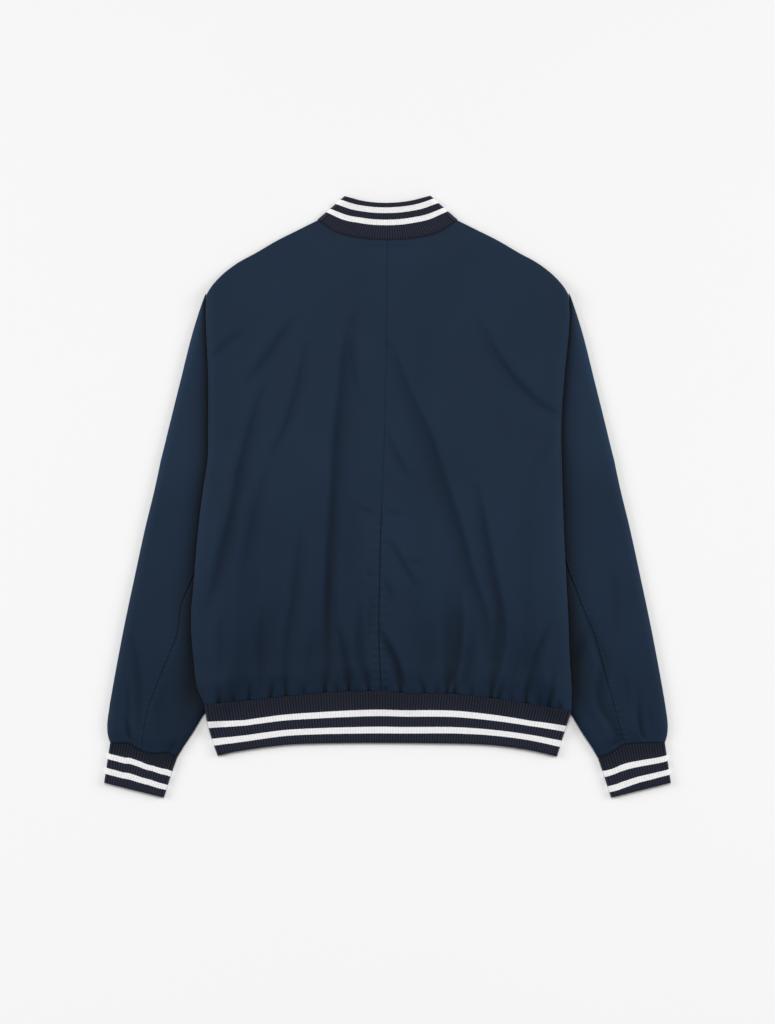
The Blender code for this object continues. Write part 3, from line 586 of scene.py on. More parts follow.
class Shader:
    """A material's nodes around one Principled shader."""

    def __init__(self, name: str, roughness: float, metallic: float = 0.0, specular: float = 0.5,
                 sheen: float = 0.0, sheen_roughness: float = 0.5) -> None:
        """Make the material and set what is the same all over it.

        Args:
            name: Name of the material.
            roughness: Roughness of the surface.
            metallic: 1 for bare metal.
            specular: Level of the specular gloss.
            sheen: Weight of the fibre sheen.
            sheen_roughness: Roughness of that sheen.
        """
        self.material = bpy.data.materials.new(name)
        self.material.use_nodes = True
        self.tree = self.material.node_tree
        self.surface = self.tree.nodes["Principled BSDF"]
        values = {"Roughness": roughness, "Metallic": metallic, "Specular IOR Level": specular,
                  "Sheen Weight": sheen, "Sheen Roughness": sheen_roughness}
        for socket, value in values.items():
            self.surface.inputs[socket].default_value = value

    def node(self, kind: str, inputs: dict | None = None, **settings: object) -> bpy.types.Node:
        """Add a node, set its options and fill its inputs with values or links.

        Args:
            kind: The node's type.
            inputs: What goes into its inputs, by name or number.
            settings: Its options.

        Returns:
            The new node.
        """
        node = self.tree.nodes.new(kind)
        for key, value in settings.items():
            setattr(node, key, value)
        for key, value in (inputs or {}).items():
            if isinstance(value, Socket):
                self.tree.links.new(value, node.inputs[key])
            else:
                node.inputs[key].default_value = value
        return node

    def maths(self, operation: str, *values: object) -> Socket:
        """Add a Math node and return its result."""
        return self.node("ShaderNodeMath", dict(enumerate(values)), operation=operation).outputs[0]

    def linear(self, value: Socket, factor: object, added: object) -> Socket:
        """Return a value times a factor plus what is added."""
        return self.maths("MULTIPLY_ADD", value, factor, added)

    def times(self, value: Socket, factor: object) -> Socket:
        """Return a value times a factor."""
        return self.maths("MULTIPLY", value, factor)

    def vector(self, operation: str, inputs: dict) -> Socket:
        """Add a Vector Math node and return its result."""
        return self.node("ShaderNodeVectorMath", inputs, operation=operation).outputs["Vector"]

    def place(self) -> Socket:
        """Return the place on the piece in metres."""
        return self.node("ShaderNodeTexCoord").outputs["Object"]

    def uv(self) -> tuple[Socket, Socket]:
        """Return the u and the v of the piece's texture map."""
        uv = self.node("ShaderNodeUVMap").outputs["UV"]
        return tuple(self.node("ShaderNodeSeparateXYZ", {"Vector": uv}).outputs[:2])

    def noise(self, place: Socket, scale: float, detail: float) -> Socket:
        """Return soft noise from 0 to 1."""
        inputs = {"Vector": place, "Scale": scale, "Detail": detail}
        return self.node("ShaderNodeTexNoise", inputs).outputs["Fac"]

    def wave(self, socket: Socket, pitch: float) -> Socket:
        """Turn a distance into a wave from 0 to 1: (1 + sin(2 pi distance / pitch)) / 2."""
        return self.linear(self.maths("SINE", self.times(socket, 2 * np.pi / pitch)), 0.5, 0.5)

    def colour(self, share: Socket, stops: Sequence[tuple[float, tuple]], constant: bool = False) -> Socket:
        """Turn a share into a colour along a ramp of stops.

        Args:
            share: A value from 0 to 1.
            stops: Each stop's place and colour.
            constant: Whether each colour holds up to the next stop.

        Returns:
            The colour.
        """
        ramp = self.node("ShaderNodeValToRGB", {"Fac": share})
        ramp.color_ramp.interpolation = "CONSTANT" if constant else "LINEAR"
        elements = ramp.color_ramp.elements
        while len(elements) < len(stops):
            elements.new(1.0)
        for element, (place, value) in zip(elements, stops):
            element.position = place
            element.color = (*value, 1.0)
        return ramp.outputs["Color"]

    def shaded(self, share: Socket, colour: tuple[float, float, float],
               shades: Sequence[tuple[float, float]]) -> Socket:
        """Turn a share into a colour made lighter or darker by factors at its stops."""
        stops = [(place, tuple(channel * factor for channel in colour)) for place, factor in shades]
        return self.colour(share, stops)

    def bump(self, height: Socket, distance: float, strength: float = 1.0) -> None:
        """Raise the surface's shading by a height from 0 to 1 times a distance."""
        bump = self.node("ShaderNodeBump", {"Height": height, "Distance": distance, "Strength": strength})
        self.tree.links.new(bump.outputs["Normal"], self.surface.inputs["Normal"])

    def paint(self, colour: Socket) -> None:
        """Give the surface its colour."""
        self.tree.links.new(colour, self.surface.inputs["Base Color"])


@dataclass(frozen=True)
class NavyCloth:
    """Smooth, closely woven navy cloth with a faint twill, soft shade differences and a low sheen."""

    colour: tuple[float, float, float] = (0.0093, 0.0215, 0.0436)
    roughness: float = 0.60
    specular: float = 0.10
    sheen: float = 0.16
    twill_pitch: float = 0.0011
    twill_depth: float = 0.00012
    twill_strength: float = 0.6
    sheen_roughness: float = 0.28
    slow_noise: tuple[float, float] = (9.0, 3.0)
    fine_noise: tuple[float, float] = (900.0, 2.0)
    noise_shares: tuple[float, float] = (0.35, 0.75)
    shades: tuple = ((0.3, 0.93), (0.75, 1.07))
    # How painted shade tints the colour: less red, more green and blue.
    shade_tint: tuple[float, float, float] = (-0.3, 0.22, 0.6)

    def material(self) -> Finish:
        """Build the cloth: a ramp over slow noise for colour, and a twill wave with fine noise for bump.

        Where its painted shade is half deep it turns bluer, by the square of its light times what it lacks of
        it.
        """
        shader = Shader("navy_cloth", self.roughness, specular=self.specular, sheen=self.sheen,
                        sheen_roughness=self.sheen_roughness)
        place = shader.place()
        slow, fine = (shader.noise(place, *sizes) for sizes in (self.slow_noise, self.fine_noise))
        twill = shader.wave(shader.maths("ADD", *shader.uv()), self.twill_pitch)
        fine_share, slow_share = self.noise_shares
        shade = shader.linear(fine, fine_share, shader.times(slow, slow_share))
        plain = shader.shaded(shade, self.colour, self.shades)
        # Painted light and shade: the colour is scaled by the light attribute and turns bluer in half shade.
        light = shader.node("ShaderNodeAttribute", attribute_name="light").outputs["Fac"]
        dimmed = shader.maths("MAXIMUM", shader.maths("SUBTRACT", 1.0, light), 0.0)
        weight = shader.times(shader.times(light, light), dimmed)
        tint = shader.vector("MULTIPLY_ADD", {0: weight, 1: self.shade_tint, 2: (1.0, 1.0, 1.0)})
        cool = shader.vector("MULTIPLY", {0: plain, 1: tint})
        shader.paint(shader.vector("SCALE", {0: cool, "Scale": light}))
        shader.bump(shader.linear(fine, 0.5, twill), self.twill_depth, self.twill_strength)
        return shader.material


@dataclass(frozen=True)
class RibKnit:
    """Navy rib knit with two white stripes, its rows of stitches seen close up."""

    name: str
    stripes: tuple[float, float, float, float]
    length: float
    navy: tuple[float, float, float] = (0.0150, 0.0175, 0.0300)
    white: tuple[float, float, float] = (0.93, 0.925, 0.935)
    roughness: float = 0.85
    specular: float = 0.10
    sheen: float = 0.08
    wales: float = 3.0
    course: float = 0.0013
    arm_rise: float = 0.9
    # Painted shade between the rows of stitches: the colour's factor follows the row wave.
    course_light: tuple[float, float] = (0.10, 0.95)
    course_height: float = 0.6
    # Painted shade near the seam: the share of light lost there, and the power of its fall.
    seam_shade: float = 0.0
    shade_power: float = 0.6
    jag: float = 0.008
    rib_power: float = 0.8
    # Painted shade in the grooves and a painted highlight on the rib crests, on navy and on white.
    navy_rib: tuple[float, float] = (1.40, 0.16)
    white_rib: tuple[float, float] = (0.10, 0.91)
    bump_depth: float = 0.00025
    bump_strength: float = 0.7

    def material(self) -> Finish:
        """Build the knit: stripes by the map's v, grooves in painted shade by its u, and V stitches for bump.

        Above the first stripe it gets painted shade by a power of the distance from the stripe, most at the
        seam.
        """
        shader = Shader(self.name, self.roughness, specular=self.specular, sheen=self.sheen)
        along, down = shader.uv()
        wale = shader.maths("FRACT", shader.times(along, self.wales))
        arm = shader.maths("ABSOLUTE", shader.maths("SUBTRACT", wale, 0.5))
        row = shader.linear(arm, self.arm_rise * self.course / self.length, down)
        course = shader.wave(row, self.course / self.length)
        wall = shader.wave(along, 1.0 / self.wales)
        edge = shader.linear(wall, self.jag, shader.maths("SUBTRACT", down, self.jag / 2))
        stripes = self.striped(shader, edge, self.navy, self.white)
        crest = shader.maths("ABSOLUTE", shader.maths("SINE", shader.times(along, np.pi)))
        rib = shader.maths("POWER", crest, self.rib_power)
        on_white = self.striped(shader, edge, (0, 0, 0), (1, 1, 1))
        # Painted rib shading: dark grooves and light crests, strong on navy and faint on white.
        inputs = {"Factor": on_white, "A": shader.linear(rib, *self.navy_rib),
                  "B": shader.linear(rib, *self.white_rib)}
        rib_shading = shader.node("ShaderNodeMix", inputs, data_type="FLOAT").outputs["Result"]
        # Painted shade between stitch rows and near the seam scales the stripes' colour.
        stitch = shader.times(shader.linear(course, *self.course_light), rib_shading)
        by_seam = shader.maths("MAXIMUM", shader.linear(down, -1.0 / self.stripes[0], 1.0), 0.0)
        shade = shader.linear(shader.maths("POWER", by_seam, self.shade_power), -self.seam_shade, 1.0)
        shader.paint(shader.vector("SCALE", {0: stripes, "Scale": shader.times(stitch, shade)}))
        shader.bump(shader.linear(course, self.course_height, wall), self.bump_depth, self.bump_strength)
        return shader.material

    def striped(self, shader: Shader, edge: Socket, plain: tuple, stripe: tuple) -> Socket:
        """Change between two colours at the four edges of the stripes."""
        places = (0.0, *self.stripes)
        return shader.colour(edge, list(zip(places, (plain, stripe, plain, stripe, plain))), constant=True)


@dataclass(frozen=True)
class Thread:
    """Navy sewing thread with a twist."""

    colour: tuple[float, float, float] = (0.0065, 0.0150, 0.0300)
    shades: tuple = ((0.0, 0.8), (1.0, 1.25))

    def material(self) -> Finish:
        """Build the thread: a slanting wave along the stitch for colour and bump."""
        shader = Shader("navy_thread", 0.55, specular=0.3, sheen=0.1)
        twist = shader.wave(shader.maths("ADD", *shader.uv()), 0.5)
        shader.paint(shader.shaded(twist, self.colour, self.shades))
        shader.bump(twist, 0.0001, 0.6)
        return shader.material


@dataclass(frozen=True)
class SnapMetal:
    """Brushed nickel of the snap caps."""

    colour: tuple[float, float, float] = (0.46, 0.47, 0.49)
    streaks: tuple[float, float, float] = (90.0, 2400.0, 90.0)
    shades: tuple = ((0.3, 0.82), (0.7, 1.12))

    def material(self) -> Finish:
        """Build the metal: streaks of stretched noise in its colour and bump."""
        shader = Shader("snap_nickel", 0.32, metallic=1.0)
        stretched = shader.node("ShaderNodeMapping", {"Vector": shader.place(), "Scale": self.streaks})
        streaks = shader.noise(stretched.outputs["Vector"], 1.0, 3.0)
        shader.paint(shader.shaded(streaks, self.colour, self.shades))
        shader.bump(streaks, 0.00006, 0.5)
        return shader.material


# ---------------------------------------------------------------- body


@dataclass
class BodyPanel:
    """A panel of the body: its plan, and the roll of its edge at the side and shoulder."""

    side: Side
    drape: Drape
    material: Finish
    nominal: tuple[float, float] = (240.0, 575.0)
    neck_share: float = 0.66
    roll: float = 9.0
    roll_power: float = 2.3
    roll_steps: int = 8
    blur: int = 6
    end_points: int = 30
    tuck_start: Slope = Slope(1, 10, 30)
    tuck_end: Slope = Slope(1, ARMHOLE_TOP, -20)

    def span(self, neck: Sequence[tuple[float, float]], edge_x: tuple[float, float],
             centre_rows: Sequence[tuple[float, float]], tuck: float, gap: float) -> Plan:
        """Span hem seam, shoulder and neck, side and centre edge with a Coons patch.

        The patch is the blend of the two pairs of facing edges less the blend of its four corners.

        Args:
            neck: Rows of the neck seam.
            edge_x: x of the centre edge at the hem and at the neck.
            centre_rows: Points of the centre edge between them.
            tuck: How far the armhole edge moves in.
            gap: What parts the panel from the hem band.

        Returns:
            The plan, as a function of the share in from the side and the share up from the hem.
        """
        shares = np.linspace(0, 1, 600)
        hem = curve(HEM_SEAM)
        neck_line = curve(whole_neck(neck, self.side))
        sign = self.side.value
        hem_end = np.interp(edge_x[0], hem(shares)[:, 0], shares)
        neck_end = np.interp(-sign * edge_x[1], -sign * neck_line(shares)[:, 0], shares)
        shoulder = curve(mirrored(SHOULDER, self.side))
        side_line = curve(mirrored(SIDE_LINE[self.side], self.side))
        centre = curve([tuple(hem(hem_end)), *centre_rows, tuple(neck_line(neck_end))])

        def bottom(u: Grid) -> Grid:
            """Run along the hem seam from the side to the centre."""
            share = hem_end * u if self.side is LEFT else 1 - (1 - hem_end) * u
            return hem(share) + np.array([0.0, gap])

        def top(u: Grid) -> Grid:
            """Run along the shoulder, then along the neck seam."""
            on_neck = neck_line(neck_end * np.clip((u - self.neck_share) / (1 - self.neck_share), 0, 1))
            return np.where((u < self.neck_share)[..., None], shoulder(u / self.neck_share), on_neck)

        def outer(v: Grid) -> Grid:
            """Run up the side, moved in by the tuck along the armhole."""
            place = side_line(v)
            y = place[..., 1]
            inward = tuck * self.tuck_start(y) * self.tuck_end(y)
            return np.stack([place[..., 0] - sign * inward, y + gap * (1 - v)], axis=-1)

        def inner(v: Grid) -> Grid:
            """Run up the centre edge."""
            place = centre(v)
            return np.stack([place[..., 0], place[..., 1] + gap * (1 - v)], axis=-1)

        nought, one = np.zeros(1), np.ones(1)

        def at(u: Grid, v: Grid) -> Grid:
            """Add the two blends of edges and take off the blend of corners."""
            du, dv = u[..., None], v[..., None]
            corners = ((1 - du) * (1 - dv) * outer(nought) + du * (1 - dv) * inner(nought)
                       + (1 - du) * dv * outer(one) + du * dv * inner(one))
            return (1 - dv) * bottom(u) + dv * top(u) + (1 - du) * outer(v) + du * inner(v) - corners

        return at

    def lay_out(self, span: Plan, columns: Grid, rows: Grid) -> tuple[Grid, Grid, Grid]:
        """Place a panel's points, and find how far each lies inside the rolled edge.

        Args:
            span: The panel's plan.
            columns: Distances in from the side, past the roll.
            rows: Distances up from the hem, below the roll.

        Returns:
            The plan, the share of the roll's width that each point is in from the edge, and the way in.
        """
        width, height = self.nominal
        insets = self.roll * (1 - np.cos(np.linspace(0, np.pi / 2, self.roll_steps + 1)))
        u = np.concatenate([insets, columns[columns > self.roll]]) / width
        v = np.concatenate([rows[rows < height - self.roll], height - insets[::-1]]) / height
        plan = span(*np.meshgrid(u, v))
        shares = np.linspace(0, 1, 300)
        edge = np.concatenate([span(0 * shares, shares), span(self.neck_share * shares, 1 + 0 * shares)[1:]])
        along = np.gradient(edge, axis=0)
        inwards = self.side.value * np.stack([-along[:, 1], along[:, 0]], axis=1)
        inwards /= np.linalg.norm(inwards, axis=1, keepdims=True)
        blur = np.pad(inwards, ((self.blur, self.blur), (0, 0)), mode="edge").cumsum(axis=0)
        blur = blur[2 * self.blur:] - np.pad(blur[:-2 * self.blur - 1], ((1, 0), (0, 0)))
        inwards = blur / np.linalg.norm(blur, axis=1, keepdims=True)
        along_hem = span(np.full(1, self.roll / width), np.zeros(1)) - edge[0]
        below_neck = span(np.full(1, self.neck_share), np.full(1, 1 - self.roll / height)) - edge[-1]
        for way, steps in ((along_hem, np.arange(len(edge))), (below_neck, np.arange(len(edge))[::-1])):
            at_end = smooth_step(1 - steps / self.end_points)[:, None]
            inwards += at_end * (way / np.linalg.norm(way) - inwards)
        nearest = np.stack([np.linalg.norm(row[:, None] - edge, axis=-1).argmin(axis=-1) for row in plan])
        apart = ((plan - edge[nearest]) * inwards[nearest]).sum(axis=-1)
        return plan, np.clip(apart / self.roll, 0.0, 1.0), inwards[nearest]

    def rolled(self, share: Grid) -> Grid:
        """Turn the share s in from the edge into the rise of a round roll: the root of 1 - (1 - s)^power."""
        return np.sqrt(np.clip(1 - (1 - share) ** self.roll_power, 0, 1))

    def heights(self, x: Grid, y: Grid, depth: float) -> tuple[Grid, Grid]:
        """Give the heights of the edge and of the flat of a skin, depth inside the outer one."""
        raise NotImplementedError

    def close(self, name: str, laid: tuple[Grid, Grid, Grid], light: Grid) -> Piece:
        """Place both skins and close them into the panel's wall.

        Each skin goes from the height of its edge to that of its flat by the roll.

        Args:
            name: Name of the piece, before its side.
            laid: The plan, the share in from the edge, and the way in.
            light: The light and shade painted on the cloth.

        Returns:
            The new piece.
        """
        plan, share, inwards = laid
        skins = []
        for depth in (0.0, CLOTH):
            place = plan + (depth * (1 - share))[..., None] * inwards
            edge, flat = self.heights(place[..., 0], place[..., 1], depth)
            skins.append(np.dstack([place, edge + (flat - edge) * self.rolled(share)]))
        return shell(f"{name}_{self.side.word}", *skins, plan * MM, self.material, light)


# Each row: steep side, depth, share of light taken, steep and gentle width, ridge, then the points
BACK_CREASES = creases(
    (LEFT, 2.4, 0.16, 5, 14, 0.4, (-127, 234), (-142, 214), (-158, 190), (-184, 154)),
    (LEFT, 4.2, 0.34, 4.5, 14, 0.4, (-168, 141), (-182, 94), (-195, 43), (-208, -27), (-222, -84),
     (-238, -146)),
    (LEFT, 2.6, 0.22, 4, 10, 0.4, (-108, 202), (-121, 141), (-135, 96), (-152, 58)),
    (LEFT, 2.2, 0.16, 6, 13, 0.4, (-162, 36), (-178, -34), (-191, -100)),
    (LEFT, 3.4, 0.26, 5, 11, 0.4, (-115, -51), (-124, -134), (-135, -218), (-134, -266)),
    (LEFT, 5.4, 0.44, 4.2, 15, 0.4, (-49, 236), (-57, 190), (-62, 130), (-68, 76), (-71, 20), (-76, -58),
     (-80, -138), (-82, -192), (-80, -225), (-83, -262)),
    (RIGHT, 2, 0.16, 3.5, 9, 0.4, (-50, 210), (-46, 170), (-41, 140)),
    (RIGHT, 5, 0.34, 4.5, 19, 0.4, (3, 204), (26, 141), (53, 83), (77, 9), (97, -51), (113, -111),
     (127, -151), (142, -218)),
    (RIGHT, 2, 0.18, 3.5, 8, 0.4, (-1, 84), (16, 46), (33, 20)),
    (RIGHT, 4.6, 0.40, 4.2, 12, 0.4, (120, 9), (131, -51), (141, -105), (151, -151), (154, -194),
     (146, -234), (139, -268)),
    (RIGHT, 3.2, 0.17, 5, 15, 0.4, (124, 230), (144, 190), (174, 150), (211, 117), (231, 107)),
    (LEFT, 3, 0.26, 4, 9, 0.4, (218, -174), (198, -218), (187, -270)),
    (LEFT, 2, 0.24, 3, 6, 0.4, (224, -232), (217, -279)),
    (RIGHT, 3.6, 0.50, 3.6, 8, 0.4, (-9, -181), (10, -218), (24, -262)),
    (RIGHT, 4.2, 0.42, 3.8, 12, 0.4, (97, -134), (97, -185), (90, -234), (77, -264)),
    (RIGHT, 2.4, 0.18, 5, 10, 0.4, (78, -150), (84, -200), (80, -240)),
    (LEFT, 3.2, 0.30, 5, 10, 0.4, (-168, -155), (-171, -205), (-169, -266)),
    (LEFT, 1.8, 0.14, 4, 8, 0.4, (-224, -160), (-222, -235)),
    (LEFT, 3.2, 0.28, 4, 8, 0.4, (-37, -151), (-38, -218), (-27, -261)),
    (RIGHT, 2.6, 0.26, 3.6, 7, 0.4, (-68, -174), (-57, -218), (-52, -262)),
    (LEFT, 1.6, 0.13, 12, 20, 0.2, (-47, -12), (-50, -64), (-56, -110)),
    (LEFT, 1.8, 0.13, 12, 18, 0.2, (-148, -130), (-158, -190), (-160, -240)),
    (LEFT, 1.8, 0.12, 9, 14, 0.2, (-92, -170), (-100, -220), (-98, -258)),
    (RIGHT, 1.8, 0.12, 9, 14, 0.2, (60, -160), (58, -215), (54, -255)),
    (RIGHT, 2, 0.16, 8, 12, 0.2, (116, -190), (112, -230), (108, -262)),
    (LEFT, 2, 0.14, 8, 13, 0.2, (184, -200), (174, -235), (168, -268)),
    (RIGHT, 1.1, 0.16, 3, 5, 0.4, (-43, -13), (-29, -19), (-16, -24)),
    (RIGHT, 1.1, 0.16, 3, 5, 0.4, (-1, -20), (20, -26)),
    (RIGHT, 2, 0.20, 3.4, 7, 0.4, (-1, -57), (17, -84), (30, -106), (44, -128)),
    (RIGHT, 1.6, 0.22, 3.2, 6, 0.4, (-3, -110), (10, -146)),
    (LEFT, 1.2, 0.16, 3, 6, 0.4, (-30, -100), (-14, -112)),
    (RIGHT, 1, 0.12, 3, 5, 0.4, (26, -84), (46, -92)),
    (LEFT, 1.6, 0.16, 4, 7, 0.4, (-20, -140), (-24, -190)),
    (RIGHT, 1.4, 0.10, 4, 8, 0.4, (-238, 180), (-220, 200), (-190, 222)),
    (LEFT, 1.2, 0.26, 3, 6, 0.4, (-79, -70), (-80, -138), (-80, -192), (-79, -240)),
    (RIGHT, 0.8, 0.18, 3, 6, 0.4, (149, -150), (146, -200), (144, -240)),
    (RIGHT, 0.9, 0.13, 8, 14, 0.2, (84, -110), (88, -165), (86, -225)),
    (RIGHT, 0.9, 0.10, 10, 18, 0.2, (30, -110), (40, -160), (46, -215)),
    (LEFT, 1.2, 0.16, 9, 16, 0.2, (-214, -30), (-226, -90), (-233, -150)))
FRONT_CREASES = creases(
    (LEFT, 2.6, 0.3, 5, 14, 0, (-60, 210), (-66, 120), (-92, 20), (-98, -120)),
    (LEFT, 2.2, 0.25, 5, 12, 0, (-150, 190), (-160, 90), (-178, -10)),
    (RIGHT, 2.6, 0.3, 5, 14, 0, (70, 180), (92, 60), (88, -90)),
    (RIGHT, 2.2, 0.25, 5, 12, 0, (150, 160), (172, 40), (165, -60)),
    (LEFT, 1.8, 0.3, 4, 9, 0, (-190, -150), (-186, -200), (-192, -256)),
    (LEFT, 2, 0.3, 4, 9, 0, (-120, -150), (-126, -200), (-122, -256)),
    (LEFT, 2, 0.3, 4, 9, 0, (-50, -170), (-46, -215), (-52, -256)),
    (RIGHT, 2, 0.3, 4, 9, 0, (46, -160), (52, -210), (48, -256)),
    (RIGHT, 2, 0.3, 4, 9, 0, (128, -150), (122, -205), (130, -258)),
    (RIGHT, 1.8, 0.3, 4, 9, 0, (186, -160), (192, -210), (186, -262)))
SLEEVE_CREASES = {
    LEFT: creases(
        (RIGHT, 2.6, 0.30, 4, 9, 0.4, (-344, -190), (-337, -224), (-333, -262), (-334, -312)),
        (RIGHT, 1.8, 0.22, 3, 6, 0.4, (-346, -250), (-347, -280), (-345, -306)),
        (LEFT, 1.8, 0.16, 5, 10, 0.4, (-302, -262), (-306, -292), (-300, -330)),
        (RIGHT, 2.4, 0.46, 2.2, 4.5, 0.4, (-350, -292), (-347.5, -314), (-344, -332)),
        (RIGHT, 2, 0.42, 2.4, 4.5, 0.4, (-283, -326), (-289, -338), (-298, -345)),
        (RIGHT, 1.5, 0.14, 10, 18, 0.2, (-262, -180), (-262, -240), (-272, -290))),
    RIGHT: creases(
        (LEFT, 2.4, 0.24, 4, 9, 0.4, (268, -160), (276, -188), (291, -230), (286, -262), (289, -290)),
        (LEFT, 3, 0.36, 4, 9, 0.4, (285, -240), (284, -276), (302, -308), (309, -332)),
        (LEFT, 1.6, 0.22, 3.6, 8, 0.4, (336, -259), (338, -300), (343, -327)),
        (LEFT, 2.2, 0.40, 2, 4.5, 0.4, (338, -280), (338.8, -304), (341, -318), (347, -327)),
        (LEFT, 1.8, 0.36, 2.2, 4.5, 0.4, (302, -304), (309, -318), (316, -332)),
        (LEFT, 1.6, 0.30, 6, 9, 0.2, (266, -186), (258, -206), (250, -236)),
        (LEFT, 1.4, 0.18, 3, 5, 0.4, (352, -288), (354, -320)),
        (LEFT, 1.6, 0.14, 5, 10, 0.4, (318, -240), (326, -290)),
        (LEFT, 1.5, 0.12, 7, 14, 0.2, (300, -90), (306, -150), (305, -200)),
        (LEFT, 1.4, 0.30, 3, 5, 0.4, (300, -332), (318, -330)))}
# Gathers at the hem seam: x there, length up from it, depth, lean of the notch
HEM_GATHERS = (
    (-226, 30, 1.8, 0.0), (-207, 18, 1.0, 0.0), (-186, 34, 1.8, 0.08), (-157, 32, 2.0, 0.15),
    (-136, 46, 2.0, -0.08), (-112, 20, 1.2, 0.0), (-84, 40, 2.2, 0.06), (-68, 16, 1.0, 0.0),
    (-52, 42, 2.0, -0.05), (-25, 40, 2.0, -0.12), (-2, 14, 0.9, 0.0), (18, 44, 2.2, -0.2),
    (50, 30, 1.9, -0.35), (66, 16, 1.0, 0.0), (80, 48, 2.0, 0.1), (90, 40, 1.6, 0.0), (113, 18, 1.1, 0.0),
    (139, 46, 2.2, 0.1), (149, 34, 1.6, 0.25), (166, 16, 1.0, 0.0), (186, 40, 2.0, 0.1), (203, 16, 1.0, 0.0),
    (216, 34, 1.8, 0.2), (231, 16, 1.0, 0.0))


